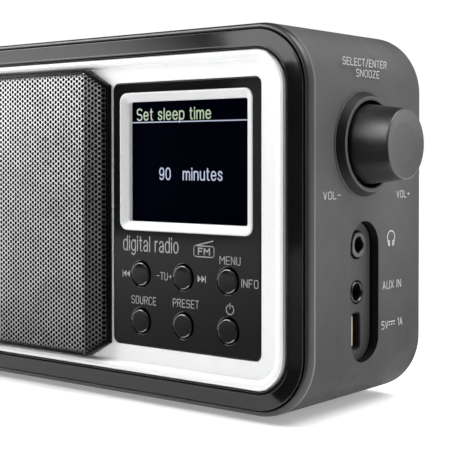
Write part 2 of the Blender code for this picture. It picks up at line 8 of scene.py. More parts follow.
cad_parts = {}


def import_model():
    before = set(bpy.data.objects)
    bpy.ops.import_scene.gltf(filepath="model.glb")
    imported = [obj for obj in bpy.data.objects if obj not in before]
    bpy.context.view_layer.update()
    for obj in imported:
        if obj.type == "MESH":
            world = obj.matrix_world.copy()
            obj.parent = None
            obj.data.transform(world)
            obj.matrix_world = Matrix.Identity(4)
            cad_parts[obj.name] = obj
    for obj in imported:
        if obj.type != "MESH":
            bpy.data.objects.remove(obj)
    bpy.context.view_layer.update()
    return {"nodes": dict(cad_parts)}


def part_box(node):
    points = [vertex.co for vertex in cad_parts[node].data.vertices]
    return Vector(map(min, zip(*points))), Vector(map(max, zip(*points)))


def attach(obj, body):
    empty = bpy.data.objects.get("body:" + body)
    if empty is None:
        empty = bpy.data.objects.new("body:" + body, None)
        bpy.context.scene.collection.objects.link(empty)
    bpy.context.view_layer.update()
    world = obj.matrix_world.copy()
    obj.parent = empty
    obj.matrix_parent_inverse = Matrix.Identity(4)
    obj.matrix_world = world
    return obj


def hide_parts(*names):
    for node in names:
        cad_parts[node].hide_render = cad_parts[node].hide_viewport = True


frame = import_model()
print("frame loaded")

# the radio's own millimetres: X from the cabinet's middle, Y back from the bezel flat, Z up from the table
perMetre = 1000.0
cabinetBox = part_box("cabinet_shell")
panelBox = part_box("control_panel")
panelProud = 0.2         # how far the control panel stands in front of the bezel flat
origin = Vector((
    (cabinetBox[0].x + cabinetBox[1].x) / 2 * perMetre,
    panelBox[0].y * perMetre + panelProud,
    0.0,
))


def local(node):
    low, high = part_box(node)
    return low * perMetre - origin, high * perMetre - origin


def middle(node):
    low, high = local(node)
    return (low + high) / 2


def world(point):
    return (Vector(point) + origin) / perMetre


def grey(level):
    # a screen level from 0 to 255 as a linear value
    share = level / 255
    if share <= 0.04045:
        return share / 12.92
    return ((share + 0.055) / 1.055) ** 2.4


def tone(red, green=None, blue=None):
    if green is None:
        return (grey(red), grey(red), grey(red), 1.0)
    return (grey(red), grey(green), grey(blue), 1.0)


def faded(colour, share):
    return tuple(part * share for part in colour[:3]) + (1.0,)


class Wire:
    # one socket's value, so that sums over a surface read as sums
    def __init__(self, paint, socket):
        self.paint = paint
        self.socket = socket

    def sum(self, kind, first, second):
        return self.paint.node("ShaderNodeMath", {"operation": kind}, {0: first, 1: second})

    def __add__(self, other):
        return self.sum("ADD", self, other)

    def __radd__(self, other):
        return self.sum("ADD", other, self)

    def __sub__(self, other):
        return self.sum("SUBTRACT", self, other)

    def __rsub__(self, other):
        return self.sum("SUBTRACT", other, self)

    def __mul__(self, other):
        return self.sum("MULTIPLY", self, other)

    def __rmul__(self, other):
        return self.sum("MULTIPLY", other, self)

    def __pow__(self, other):
        return self.sum("POWER", self, other)


class Board:
    # a node tree that nodes are added to
    def __init__(self, tree):
        self.tree = tree

    def node(self, kind, settings=None, values=None, output=0):
        made = self.tree.nodes.new(kind)
        for name, value in (settings or {}).items():
            setattr(made, name, value)
        for key, value in (values or {}).items():
            self.feed(made.inputs[key], value)
        return Wire(self, made.outputs[output])

    def feed(self, socket, value):
        if isinstance(value, Wire):
            self.tree.links.new(value.socket, socket)
        else:
            socket.default_value = value

    def ramp(self, wire, low, high, start=0.0, end=1.0):
        values = {0: wire, 1: low, 2: high, 3: start, 4: end}
        return self.node("ShaderNodeMapRange", {"clamp": True, "interpolation_type": "SMOOTHSTEP"}, values)

    def wave(self, wire, pitch):
        # rises and falls once in each pitch, from -1 to 1
        return self.node("ShaderNodeMath", {"operation": "SINE"}, {0: wire * (2 * math.pi / pitch)})


class Paint(Board):
    # one finish and the nodes that draw it
    def __init__(self, name):
        self.material = bpy.data.materials.new(name)
        self.material.use_nodes = True
        super().__init__(self.material.node_tree)
        self.shader = self.tree.nodes["Principled BSDF"]
        self.spots = {}

    def spot(self, stretch=(1.0, 1.0, 1.0)):
        # where a point lies on the piece, in millimetres
        if stretch not in self.spots:
            where = self.node("ShaderNodeTexCoord", output="Object")
            values = {0: where, 1: tuple(perMetre * part for part in stretch)}
            self.spots[stretch] = self.node("ShaderNodeVectorMath", {"operation": "MULTIPLY"}, values)
        return self.spots[stretch]

    def along(self, axis):
        return self.node("ShaderNodeSeparateXYZ", None, {0: self.spot()}, "XYZ".index(axis))

    def noise(self, size, detail=3.0, stretch=(1.0, 1.0, 1.0)):
        # cloudy 0 to 1 pattern whose lumps are about the given size in millimetres
        values = {"Vector": self.spot(stretch), "Scale": 1.0 / size, "Detail": detail}
        return self.node("ShaderNodeTexNoise", None, values)

    def mix(self, factor, first, second):
        settings = {"data_type": "RGBA"}
        return self.node("ShaderNodeMix", settings, {0: factor, 6: first, 7: second}, 2)

    def bump(self, height, strength, depth):
        # depth in millimetres
        values = {"Height": height, "Strength": strength, "Distance": depth / perMetre}
        return self.node("ShaderNodeBump", None, values)

    def fix(self, **values):
        # numbers that are the same all over, set on the shader's own sockets
        for name, value in values.items():
            self.shader.inputs[name.replace("_", " ")].default_value = value

    def set(self, **values):
        for name, value in values.items():
            self.feed(self.shader.inputs[name.replace("_", " ")], value)


print("helpers ready")

# levels are what the finish looks like on a screen, 0 to 255
plasticLook = {
    "colour": 74,            # the cabinet's side
    "foot": 0.56,            # painted shade: share of the colour that is left low down
    "backward": 0.6,         # and toward the back
    "low": 75.0,             # height where the painted shade ends
    "depth": (-5.0, 50.0),   # from where to where the painted shade deepens toward the back
    "roughness": 0.56,
    "rim": 36,               # the narrow turned-in front edge, glossier and darker; the darker tone is painted shade
    "shade": 15,             # painted shade on the walls of the recess and the knob's collar
    "catch": 98,             # painted highlight on thin edges that catch the light
}
# edge: tone of the painted highlights on the keys and their holes
glossLook = {"colour": 15, "panel": 17, "edge": 150, "roughness": 0.07, "specular": 0.45}
silverLook = {
    "colour": 240, "metal": 0.08,            # bezel
    "frame": 224, "frameMetal": 0.04,        # frame round the display
    "lip": 150, "lipMetal": 0.3,             # painted shade: a darker, more metallic copy for the bezel's steep right-hand lip
    "roughness": 0.36,
}
# facet and rim: darker copies of the grille metal, painted shade
grilleLook = {"colour": 236, "facet": 158, "rim": 26, "roughness": 0.28}
inkLook = {"panel": 150, "side": 182, "mark": 150}
screenLook = {
    "face": ((1, 2, 12), (0, 0, 8), 32.0),               # left tone, right tone, distance it drifts over
    "header": ((226, 233, 236), (202, 222, 190), 40.0),
    "text": ((212, 218, 244), (205, 213, 240), 60.0),
    "dot": 0.28,                                         # spacing of the dots
    "dim": 0.8,                                          # light between the dots
}
knobLook = {"colour": 92, "roughness": 0.4, "turning": 0.22, "ringDepth": 0.25}


def mouldedPlastic(name, level, roughness, grain=0.16, specular=0.35, paintedShade=None):
    paint = Paint(name)
    fine = paint.noise(0.28, 2.0)
    cloud = paint.noise(22.0, 4.0)
    darker = tone(level * 0.94)
    lighter = tone(min(level * 1.05, 250))
    shade = paint.mix(paint.ramp(cloud, 0.3, 0.7), darker, lighter)
    speckle = paint.mix(paint.ramp(fine, 0.35, 0.75) * 0.12, shade, tone(min(level * 1.35, 252)))
    if paintedShade:
        # painted shade: darker near the table and toward the back, where less light reaches the plastic
        low = paint.ramp(paint.along("Z"), 0.0, plasticLook["low"], paintedShade[0] ** 2, 1.0)
        behind = paint.ramp(paint.along("Y"), *plasticLook["depth"], 1.0, paintedShade[1] ** 2)
        speckle = paint.mix(low * behind, (0.0, 0.0, 0.0, 1.0), speckle)
    paint.set(
        Base_Color=speckle,
        Roughness=paint.ramp(paint.noise(6.0, 3.0), 0.25, 0.75, roughness - 0.04, roughness + 0.05),
        Normal=paint.bump(fine, grain, 0.05),
    )
    paint.fix(Specular_IOR_Level=specular)
    return paint.material


def glossPlastic(name, level, roughness, specular):
    paint = Paint(name)
    smear = paint.noise(14.0, 3.0)
    dust = paint.noise(0.35, 1.0)
    colour = paint.mix(paint.ramp(dust, 0.72, 0.86) * 0.25, tone(level), tone(level + 26))
    paint.set(
        Base_Color=colour,
        Roughness=paint.ramp(smear, 0.3, 0.75, roughness, roughness + 0.05),
        Normal=paint.bump(paint.noise(9.0, 1.0), 0.05, 0.06),
    )
    paint.fix(Specular_IOR_Level=specular)
    return paint.material


def silverPaint(name, level, roughness, metallic):
    paint = Paint(name)
    flake = paint.noise(0.22, 1.0)
    cloud = paint.noise(18.0, 3.0)
    warm = tone(level - 5, level - 4, level - 3)
    base = paint.mix(paint.ramp(cloud, 0.3, 0.7), warm, tone(level, level, level + 1))
    colour = paint.mix(paint.ramp(flake, 0.55, 0.8) * 0.3, base, tone(250, 250, 252))
    paint.set(
        Base_Color=colour,
        Roughness=paint.ramp(flake, 0.3, 0.8, roughness - 0.05, roughness + 0.08),
        Normal=paint.bump(flake, 0.05, 0.03),
    )
    paint.fix(Metallic=metallic)
    return paint.material


def metal(name, colour, roughness, grainSize=0.4, stretch=(1.0, 1.0, 1.0), wear=0.12):
    paint = Paint(name)
    lines = paint.noise(grainSize, 3.0, stretch)
    stain = paint.noise(9.0, 4.0)
    paint.set(
        Base_Color=paint.mix(paint.ramp(stain, 0.35, 0.7), colour, faded(colour, 0.82)),
        Roughness=paint.ramp(lines, 0.25, 0.75, roughness - 0.04, roughness + wear),
        Normal=paint.bump(lines, 0.12, 0.03),
    )
    paint.fix(Metallic=1.0)
    return paint.material


def turnedMetal(name, level, roughness, centre, pitch, depth):
    # fine rings cut round the X axis, as on a turned cap
    paint = Paint(name)
    away = paint.node(
        "ShaderNodeVectorMath",
        {"operation": "SUBTRACT"},
        {0: paint.spot(), 1: tuple(part * perMetre for part in centre)},
    )
    back = paint.node("ShaderNodeSeparateXYZ", None, {0: away}, 1)
    height = paint.node("ShaderNodeSeparateXYZ", None, {0: away}, 2)
    radius = (back * back + height * height) ** 0.5
    ring = paint.wave(radius, pitch)
    fleck = paint.noise(0.9, 2.0)
    colour = paint.mix(paint.ramp(fleck, 0.3, 0.75), tone(level * 0.97), tone(level * 1.03))
    paint.set(
        Base_Color=colour,
        Roughness=paint.ramp(fleck, 0.3, 0.7, roughness - 0.02, roughness + 0.03),
        Normal=paint.bump(ring * 0.5 + fleck * 0.1, depth, 0.02),
    )
    paint.fix(Metallic=1.0)
    return paint.material


def cloth(name, level, thread):
    paint = Paint(name)
    weave = paint.wave(paint.along("X"), thread) * paint.wave(paint.along("Z"), thread) * 0.5 + 0.5
    paint.set(
        Base_Color=paint.mix(weave, tone(level * 0.5), tone(level * 1.4)),
        Roughness=paint.ramp(paint.noise(0.8, 2.0), 0.3, 0.7, 0.86, 0.98),
        Normal=paint.bump(weave, 0.5, 0.1),
    )
    return paint.material


def rubber(name, level):
    paint = Paint(name)
    grain = paint.noise(0.3, 3.0)
    colour = paint.mix(paint.ramp(paint.noise(3.0, 3.0), 0.3, 0.7), tone(level * 0.9), tone(level * 1.25))
    paint.set(
        Base_Color=colour,
        Roughness=paint.ramp(grain, 0.3, 0.7, 0.72, 0.9),
        Normal=paint.bump(grain, 0.3, 0.05),
    )
    return paint.material


def circuitBoard(name):
    paint = Paint(name)
    tracks = paint.node(
        "ShaderNodeTexBrick",
        {"offset": 0.37, "squash": 1.0},
        {
            "Vector": paint.spot(),
            "Scale": 0.35,
            "Mortar Size": 0.03,
            "Color1": tone(14, 82, 44),
            "Color2": tone(12, 66, 38),
            "Mortar": tone(38, 118, 62),
        },
    )
    pads = paint.node(
        "ShaderNodeTexVoronoi",
        {"feature": "F1"},
        {"Vector": paint.spot(), "Scale": 0.45, "Randomness": 0.35},
    )
    isPad = 1.0 - paint.ramp(pads, 0.16, 0.22)
    paint.set(
        Base_Color=paint.mix(isPad, tracks, tone(188, 176, 120)),
        Metallic=isPad * 0.8,
        Roughness=paint.ramp(paint.noise(2.0, 2.0), 0.3, 0.7, 0.32, 0.46),
        Normal=paint.bump(isPad, 0.3, 0.05),
    )
    return paint.material


def ribbonCable(name):
    paint = Paint(name)
    stripe = paint.ramp(paint.wave(paint.along("X"), 0.8), -0.1, 0.3)
    paint.set(
        Base_Color=paint.mix(stripe, tone(150, 92, 20), tone(196, 132, 52)),
        Roughness=paint.ramp(paint.noise(2.0, 2.0), 0.3, 0.7, 0.28, 0.42),
        Metallic=stripe * 0.3,
        Normal=paint.bump(stripe, 0.2, 0.04),
    )
    return paint.material


def shrinkSleeve(name):
    paint = Paint(name)
    crease = paint.noise(2.2, 4.0, (0.25, 1.0, 1.0))
    paint.set(
        Base_Color=paint.mix(paint.ramp(crease, 0.35, 0.7), tone(22, 52, 128), tone(34, 70, 158)),
        Roughness=paint.ramp(crease, 0.3, 0.7, 0.22, 0.38),
        Normal=paint.bump(crease, 0.35, 0.2),
    )
    return paint.material


def conePaper(name):
    paint = Paint(name)
    fibre = paint.noise(0.7, 5.0, (1.0, 0.4, 1.0))
    paint.set(
        Base_Color=paint.mix(paint.ramp(fibre, 0.35, 0.65), tone(34, 32, 30), tone(58, 55, 51)),
        Roughness=paint.ramp(fibre, 0.3, 0.7, 0.84, 0.96),
        Normal=paint.bump(fibre, 0.5, 0.1),
    )
    return paint.material


def printInk(name, level):
    paint = Paint(name)
    patch = paint.noise(0.25, 2.0)
    paint.set(
        Base_Color=paint.mix(paint.ramp(patch, 0.3, 0.7), tone(level * 0.92), tone(min(level * 1.05, 250))),
        Roughness=paint.ramp(patch, 0.3, 0.7, 0.42, 0.55),
        Normal=paint.bump(patch, 0.1, 0.02),
    )
    return paint.material


def screenGlow(name, start, key):
    # a lit face whose tone drifts to the right from the start X, with its rows of dots just showing
    left, right, reach = screenLook[key]
    dot = screenLook["dot"]
    paint = Paint(name)
    side = paint.ramp(paint.along("X"), start, start + reach)
    grid = paint.wave(paint.along("Z"), dot) * paint.wave(paint.along("X"), dot) * 0.5 + 0.5
    lit = paint.mix(side, tone(*left), tone(*right))
    dim = paint.mix(side, faded(tone(*left), screenLook["dim"]), faded(tone(*right), screenLook["dim"]))
    paint.set(
        Base_Color=paint.mix(grid, tone(2), tone(4)),
        Emission_Color=paint.mix(grid, dim, lit),
        Roughness=paint.ramp(paint.noise(5.0, 2.0), 0.3, 0.7, 0.3, 0.4),
    )
    paint.fix(Emission_Strength=1.0, Specular_IOR_Level=0.0)
    return paint.material


def clearWindow(name):
    paint = Paint(name)
    haze = paint.noise(7.0, 3.0)
    paint.set(
        Base_Color=paint.mix(haze, tone(3, 3, 6), tone(5, 5, 9)),
        Roughness=paint.ramp(haze, 0.3, 0.7, 0.03, 0.07),
        Alpha=paint.ramp(haze, 0.2, 0.8, 0.03, 0.05),
    )
    paint.fix(Specular_IOR_Level=0.0)
    return paint.material


finish = {
    "cabinet_grey": mouldedPlastic(
        "cabinetGrey", plasticLook["colour"], plasticLook["roughness"],
        paintedShade=(plasticLook["foot"], plasticLook["backward"]),
    ),
    "rim_shade_grey": mouldedPlastic("rimShadeGrey", plasticLook["rim"], 0.38, 0.06, 0.55),
    "shade_grey": mouldedPlastic("shadeGrey", plasticLook["shade"], 0.5, 0.08, 0.25),
    "highlight_grey": mouldedPlastic("highlightGrey", plasticLook["catch"], 0.4, 0.08),
    "cover_black": mouldedPlastic("coverBlack", 46, 0.62, 0.24),
    "gloss_black": glossPlastic(
        "glossBlack", glossLook["colour"], glossLook["roughness"], glossLook["specular"]
    ),
    "panel_black": glossPlastic(
        "panelBlack", glossLook["panel"], glossLook["roughness"], glossLook["specular"]
    ),
    "highlight_gloss": glossPlastic("highlightGloss", glossLook["edge"], 0.25, 0.8),
    "shaded_silver_lip": silverPaint("shadedSilverLip", silverLook["lip"], 0.34, silverLook["lipMetal"]),
    "silver_paint": silverPaint(
        "silverPaint", silverLook["colour"], silverLook["roughness"], silverLook["metal"]
    ),
    "frame_silver": silverPaint(
        "frameSilver", silverLook["frame"], silverLook["roughness"], silverLook["frameMetal"]
    ),
    "grille_metal": metal("grilleMetal", tone(grilleLook["colour"]), grilleLook["roughness"], 0.5),
    "shaded_facet_metal": metal("shadedFacetMetal", tone(grilleLook["facet"]), grilleLook["roughness"], 0.5),
    "shaded_rim_metal": metal("shadedRimMetal", tone(grilleLook["rim"]), 0.42, 0.5),
    "hole_shade_black": mouldedPlastic("holeShadeBlack", 12, 0.6, 0.1),
    "cloth_black": cloth("clothBlack", 6, 0.9),
    "window_dark": clearWindow("clearWindow"),
    "module_grey": mouldedPlastic("moduleGrey", 110, 0.5),
    "flex_amber": ribbonCable("flexAmber"),
    "board_green": circuitBoard("boardGreen"),
    "switch_black": mouldedPlastic("switchBlack", 30, 0.5),
    "can_steel": metal("canSteel", tone(205, 204, 200), 0.3, 0.6, (0.15, 1.0, 1.0)),
    "copper_plate": metal("copperPlate", tone(196, 124, 90), 0.34, 0.5, (1.0, 1.0, 0.15)),
    "magnet_grey": metal("magnetGrey", tone(84, 84, 88), 0.5, 0.8),
    "cone_paper": conePaper("conePaper"),
    "rubber_black": rubber("rubberBlack", 26),
    "sleeve_blue": shrinkSleeve("sleeveBlue"),
    "nickel": metal("nickel", tone(98, 98, 100), 0.36, 0.5),
    "jack_black": glossPlastic("jackBlack", 22, 0.2, 0.7),
    "chrome": metal("chrome", tone(222, 222, 226), 0.1, 1.2, (0.1, 1.0, 1.0), 0.06),
    "usb_steel": metal("usbSteel", tone(196, 182, 160), 0.3, 0.4),
    "panel_ink": printInk("panelInk", inkLook["panel"]),
    "side_ink": printInk("sideInk", inkLook["side"]),
    "mark_ink": printInk("markInk", inkLook["mark"]),
}
print("finishes ready")

# the shape helpers all work in the radio's own millimetres


def outline(width, height, radius, steps):
    # rounded rectangle, anticlockwise from the right-hand side
    radius = max(min(radius, width / 2 - 0.01, height / 2 - 0.01), 0.05)
    points = []
    for across, up, start in ((1, 1, 0), (-1, 1, 90), (-1, -1, 180), (1, -1, 270)):
        for step in range(steps + 1):
            angle = math.radians(start + 90.0 * step / steps)
            points.append((
                across * (width / 2 - radius) + radius * math.cos(angle),
                up * (height / 2 - radius) + radius * math.sin(angle),
            ))
    return points


def spread(axis, u, v, along):
    if axis == "x":
        return Vector((along, u, v))
    if axis == "y":
        return Vector((u, along, v))
    return Vector((u, v, along))


def soften(points, reach, steps=4, closed=False):
    # rounds each corner of a profile with a short curve; points may hold any number of values
    count = len(points)
    made = []
    for i, point in enumerate(points):
        if not closed and i in (0, count - 1):
            made.append(tuple(point))
            continue
        here = list(point)
        before = points[i - 1]
        after = points[(i + 1) % count]
        ends = []
        for other in (before, after):
            length = math.sqrt(sum((a - b) ** 2 for a, b in zip(here, other)))
            share = min(reach / length, 0.48) if length > 1e-9 else 0.0
            ends.append([a + (b - a) * share for a, b in zip(here, other)])
        for step in range(steps + 1):
            t = step / steps
            row = []
            for a, b, c in zip(ends[0], here, ends[1]):
                row.append(a * (1 - t) ** 2 + 2 * b * t * (1 - t) + c * t * t)
            made.append(tuple(row))
    return made


def loft(bm, axis, centre, sections, steps=8, closed=False):
    # skins rounded rectangles given as (width, height, radius, along)
    rings = []
    for width, height, radius, along in sections:
        ring = []
        for u, v in outline(width, height, radius, steps):
            ring.append(bm.verts.new(spread(axis, u + centre[0], v + centre[1], along)))
        rings.append(ring)
    pairs = list(zip(rings, rings[1:]))
    if closed:
        pairs.append((rings[-1], rings[0]))
    count = len(rings[0])
    for first, second in pairs:
        for i in range(count):
            j = (i + 1) % count
            bm.faces.new((first[i], first[j], second[j], second[i]))
    if not closed:
        bm.faces.new(rings[0])
        bm.faces.new(rings[-1])


def turn(bm, axis, centre, profile, steps=64, closed=False):
    # turns (radius, along) points about the axis
    rings = []
    for radius, along in profile:
        if radius <= 1e-6:
            rings.append([bm.verts.new(spread(axis, centre[0], centre[1], along))])
            continue
        ring = []
        for step in range(steps):
            angle = 2 * math.pi * step / steps
            u = centre[0] + radius * math.cos(angle)
            v = centre[1] + radius * math.sin(angle)
            ring.append(bm.verts.new(spread(axis, u, v, along)))
        rings.append(ring)
    pairs = list(zip(rings, rings[1:]))
    if closed:
        pairs.append((rings[-1], rings[0]))
    for first, second in pairs:
        for i in range(steps):
            j = (i + 1) % steps
            if len(first) == 1:
                bm.faces.new((first[0], second[j], second[i]))
            elif len(second) == 1:
                bm.faces.new((first[i], first[j], second[0]))
            else:
                bm.faces.new((first[i], first[j], second[j], second[i]))


def block(bm, low, high):
    made = bmesh.ops.create_cube(bm, size=1.0)
    low = Vector(low)
    high = Vector(high)
    bmesh.ops.scale(bm, vec=high - low, verts=made["verts"])
    bmesh.ops.translate(bm, vec=(low + high) / 2, verts=made["verts"])


sharpAngle = 32.0        # degrees between two faces that still look like one curve


def solid(name, bm, look, sharp=sharpAngle):
    bmesh.ops.recalc_face_normals(bm, faces=bm.faces)
    for vert in bm.verts:
        vert.co = world(vert.co)
    mesh = bpy.data.meshes.new(name)
    bm.to_mesh(mesh)
    bm.free()
    mesh.materials.append(finish[look])
    made = bpy.data.objects.new(name, mesh)
    bpy.context.collection.objects.link(made)
    mesh.shade_smooth()
    mesh.set_sharp_from_angle(angle=math.radians(sharp))
    return made


def carve(made, kind, draw):
    # subtracts or adds the shape that draw puts into a fresh bmesh, then drops the tool
    bm = bmesh.new()
    draw(bm)
    tool = solid("tool", bm, "cabinet_grey")
    tool.hide_render = True
    boolean = made.modifiers.new("carve", "BOOLEAN")
    boolean.operation = kind
    boolean.solver = "EXACT"
    boolean.object = tool
    bpy.context.view_layer.update()
    graph = bpy.context.evaluated_depsgraph_get()
    mesh = bpy.data.meshes.new_from_object(made.evaluated_get(graph))
    made.modifiers.clear()
    old = made.data
    look = old.materials[0]
    name = old.name
    made.data = mesh
    bpy.data.meshes.remove(old)
    bpy.data.objects.remove(tool, do_unlink=True)
    mesh.name = name
    mesh.materials.clear()
    mesh.materials.append(look)
    mesh.polygons.foreach_set("material_index", [0] * len(mesh.polygons))
    mesh.shade_smooth()
    mesh.set_sharp_from_angle(angle=math.radians(sharpAngle))


def repaint(made, look, chosen):
    # gives the faces picked out by their middle point and outward direction another finish
    mesh = made.data
    mesh.materials.append(finish[look])
    number = len(mesh.materials) - 1
    for face in mesh.polygons:
        if chosen(face.center * perMetre - origin, face.normal):
            face.material_index = number


def edge(made, width):
    # a small round on the hard edges
    bevel = made.modifiers.new("edge", "BEVEL")
    bevel.width = width / perMetre
    bevel.segments = 2
    bevel.limit_method = "ANGLE"
    bevel.angle_limit = math.radians(60.0)
    bevel.use_clamp_overlap = True
    bevel.harden_normals = True


def place(made, body, slot=None, *nodes):
    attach(made, body)
    if nodes:
        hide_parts(*nodes)


def lofted(name, look, axis, centre, sections, steps=8, closed=False):
    bm = bmesh.new()
    loft(bm, axis, centre, sections, steps, closed)
    return solid(name, bm, look)


def turned(name, look, axis, centre, profile, steps=64, closed=False, sharp=sharpAngle):
    bm = bmesh.new()
    turn(bm, axis, centre, profile, steps, closed)
    return solid(name, bm, look, sharp)


def boxed(name, look, low, high, soft=0.3):
    bm = bmesh.new()
    block(bm, low, high)
    bmesh.ops.bevel(bm, geom=bm.edges[:], offset=soft, segments=3, profile=0.5, affect="EDGES")
    return solid(name, bm, look)


cabinetLow, cabinetHigh = local("cabinet_shell")
cabinetWidth = cabinetHigh.x - cabinetLow.x
cabinetTall = cabinetHigh.z - cabinetLow.z
rightFace = cabinetHigh.x
back = cabinetHigh.y
heart = (0.0, (cabinetLow.z + cabinetHigh.z) / 2)
shellShape = {
    "corner": 18.0,
    "wall": 2.5,
    "rim": 1.8,              # how far the turned-in front edge reaches
    "frontEdge": 2.3,        # how deep the front edge with its painted shade goes
    "catch": 2.9,            # and the thin painted highlight line behind it
    "steps": 28,
}


def inset(amount, along):
    corner = shellShape["corner"] - amount
    return (cabinetWidth - 2 * amount, cabinetTall - 2 * amount, corner, along)


collarLow, collarHigh = local("knob_collar")
knobMiddle = middle("knob_collar")
knobCentre = (knobMiddle.y, knobMiddle.z)
collarBase = (collarHigh.z - collarLow.z) / 2
plateLow, plateHigh = local("socket_plate")
recessCentre = ((plateLow.y + plateHigh.y) / 2, (plateLow.z + plateHigh.z) / 2)
recessGap = 0.2
recessWide = plateHigh.y - plateLow.y + 2 * recessGap
recessTall = plateHigh.z - plateLow.z + 2 * recessGap


def makeCabinet():
    rim = shellShape["rim"]
    wall = shellShape["wall"]
    outer = [
        inset(rim, 6.0),
        inset(rim, 0.6),
        inset(1.6, 0.3),
        inset(1.25, 0.14),
        inset(0.65, 0.4),
        inset(0.22, 1.2),
        inset(0.0, 2.5),
        inset(0.0, back - 1.0),
        inset(0.6, back),
        inset(wall, back),
        inset(wall, 6.0),
    ]
    made = lofted(
        "cabinetSleeve", "cabinet_grey", "y", heart, soften(outer, 0.5, 3, True), shellShape["steps"], True
    )

    def knobHole(bm):
        radius = collarBase - 1.2
        ends = ((0.0, rightFace - 6), (radius, rightFace - 6), (radius, rightFace + 6), (0.0, rightFace + 6))
        turn(bm, "x", knobCentre, ends, 72)

    def recessHole(bm):
        ends = []
        for along in (rightFace - 6, rightFace + 6):
            ends.append((recessWide, recessTall, recessWide / 2, along))
        loft(bm, "x", recessCentre, ends, 20)

    carve(made, "DIFFERENCE", knobHole)
    carve(made, "DIFFERENCE", recessHole)

    def frontEdge(point, facing):
        return point.y < shellShape["frontEdge"] and facing.y < -0.08

    def recessWall(point, facing):
        beside = abs(point.y - recessCentre[0]) < recessWide and 10 < point.y < back - 4
        level = abs(point.z - recessCentre[1]) < recessTall / 2 + 0.5
        return beside and level and point.x > rightFace - 5 and abs(facing.x) < 0.3

    def catchLine(point, facing):
        return point.y < shellShape["catch"] and -0.01 > facing.y >= -0.08

    # painted shade on the front edge and the recess walls, and a thin painted highlight line behind the front
    # edge
    repaint(made, "rim_shade_grey", frontEdge)
    repaint(made, "shade_grey", recessWall)
    repaint(made, "highlight_grey", catchLine)
    edge(made, 0.22)
    place(made, "radio", "cabinet_grey", "cabinet_shell")


plateShape = {
    "gap": 0.05,             # between the plate and the wall of the recess
    "phones": 4.15,          # radius of the headphone hole
    "aux": 3.45,
    "usb": (4.5, 10.6, 1.3),     # width, height and corner of the USB slot
}


def makeSocketPlate():
    rear, front = plateLow.x, plateHigh.x
    inward = recessGap - plateShape["gap"]
    ends = []
    for along in (rear, front):
        ends.append((recessWide - 2 * inward, recessTall - 2 * inward, recessWide / 2 - inward, along))
    made = lofted("socketPlate", "cabinet_grey", "x", recessCentre, ends, 20)
    phones = middle("headphone_jack")
    aux = middle("aux_jack")
    usb = middle("usb_socket")

    def holes(bm):
        for spot, radius in ((phones, plateShape["phones"]), (aux, plateShape["aux"])):
            ends = ((0.0, rear - 2), (radius, rear - 2), (radius, front + 2), (0.0, front + 2))
            turn(bm, "x", (spot.y, spot.z), ends, 48)
        ends = ((*plateShape["usb"], rear - 2), (*plateShape["usb"], front + 2))
        loft(bm, "x", (usb.y, usb.z), ends, 8)

    carve(made, "DIFFERENCE", holes)
    edge(made, 0.15)
    place(made, "radio", "cabinet_grey", "socket_plate")


coverShape = {
    "gap": 2.8,
    "slots": 5,
    "slot": (36.0, 2.2, 1.0),        # width, height and corner of a sound slot
    "slotSpot": (-60.0, 45.1),       # X and Z of the lowest one
    "slotStep": 7.0,
    "screwHead": 1.9,
}


def makeRearCover():
    gap = coverShape["gap"]
    sections = [inset(gap, back - 3.0), inset(gap, back - 0.9), inset(gap + 0.4, back - 0.5)]
    made = lofted("rearCover", "cover_black", "y", heart, sections, shellShape["steps"])

    def slots(bm):
        x, lowest = coverShape["slotSpot"]
        ends = ((*coverShape["slot"], back - 5), (*coverShape["slot"], back + 1))
        for row in range(coverShape["slots"]):
            loft(bm, "y", (x, lowest + row * coverShape["slotStep"]), ends, 6)

    def wells(bm):
        for number in (1, 2, 3, 4):
            spot = middle(f"cover_screw_{number}")
            radius = coverShape["screwHead"]
            ends = ((0.0, back - 5), (radius, back - 5), (radius, back + 1), (0.0, back + 1))
            turn(bm, "y", (spot.x, spot.z), ends, 32)

    carve(made, "DIFFERENCE", slots)
    carve(made, "DIFFERENCE", wells)
    edge(made, 0.15)
    place(made, "radio", "cover_black", "rear_cover")


screwShape = {"shank": 1.2, "head": 1.6, "headTall": 0.7, "cross": 1.0, "crossHalf": 0.2, "crossDeep": 0.5}


def makeScrews():
    shank = screwShape["shank"]
    wide = screwShape["head"]
    arm = screwShape["cross"]
    half = screwShape["crossHalf"]
    for number in (1, 2, 3, 4):
        spot = middle(f"cover_screw_{number}")
        low, high = local(f"cover_screw_{number}")
        head = high.y
        neck = head - screwShape["headTall"]
        profile = [
            (0.0, low.y), (shank - 0.2, low.y + 1.0), (shank, low.y + 1.5), (shank, neck), (wide, neck),
            (wide, head - 0.1), (wide - 0.15, head), (0.0, head),
        ]
        made = turned(f"coverScrew{number}", "can_steel", "y", (spot.x, spot.z), profile, 32)
        for across, up in ((arm, half), (half, arm)):

            def groove(bm):
                floor = head - screwShape["crossDeep"]
                block(bm, (spot.x - across, floor, spot.z - up), (spot.x + across, head + 1, spot.z + up))

            carve(made, "DIFFERENCE", groove)
        place(made, "radio", "can_steel", f"cover_screw_{number}")


footShape = {"taper": 0.2, "sole": 1.2, "soften": 0.3}


def makeFeet():
    for number in (1, 2, 3, 4):
        low, high = local(f"foot_{number}")
        spot = (low + high) / 2
        radius = (high.x - low.x) / 2
        tall = high.z
        profile = [
            (0.0, 0.0), (radius - footShape["sole"], 0.0), (radius - footShape["taper"], 0.35),
            (radius, tall), (0.0, tall),
        ]
        shaped = soften(profile, footShape["soften"])
        made = turned(f"foot{number}", "rubber_black", "z", (spot.x, spot.y), shaped, 48)
        place(made, "radio", "rubber_black", f"foot_{number}")


makeCabinet()
makeSocketPlate()
makeRearCover()
makeScrews()
makeFeet()
print("cabinet made")

frontShape = {
    "bezelIn": 7.3,          # how far in from the cabinet's outside the bezel starts
    "ridgeIn": 10.3,         # where its raised ridge ends
    "speakerHole": 28.5,     # radius of the hole behind the grille
}


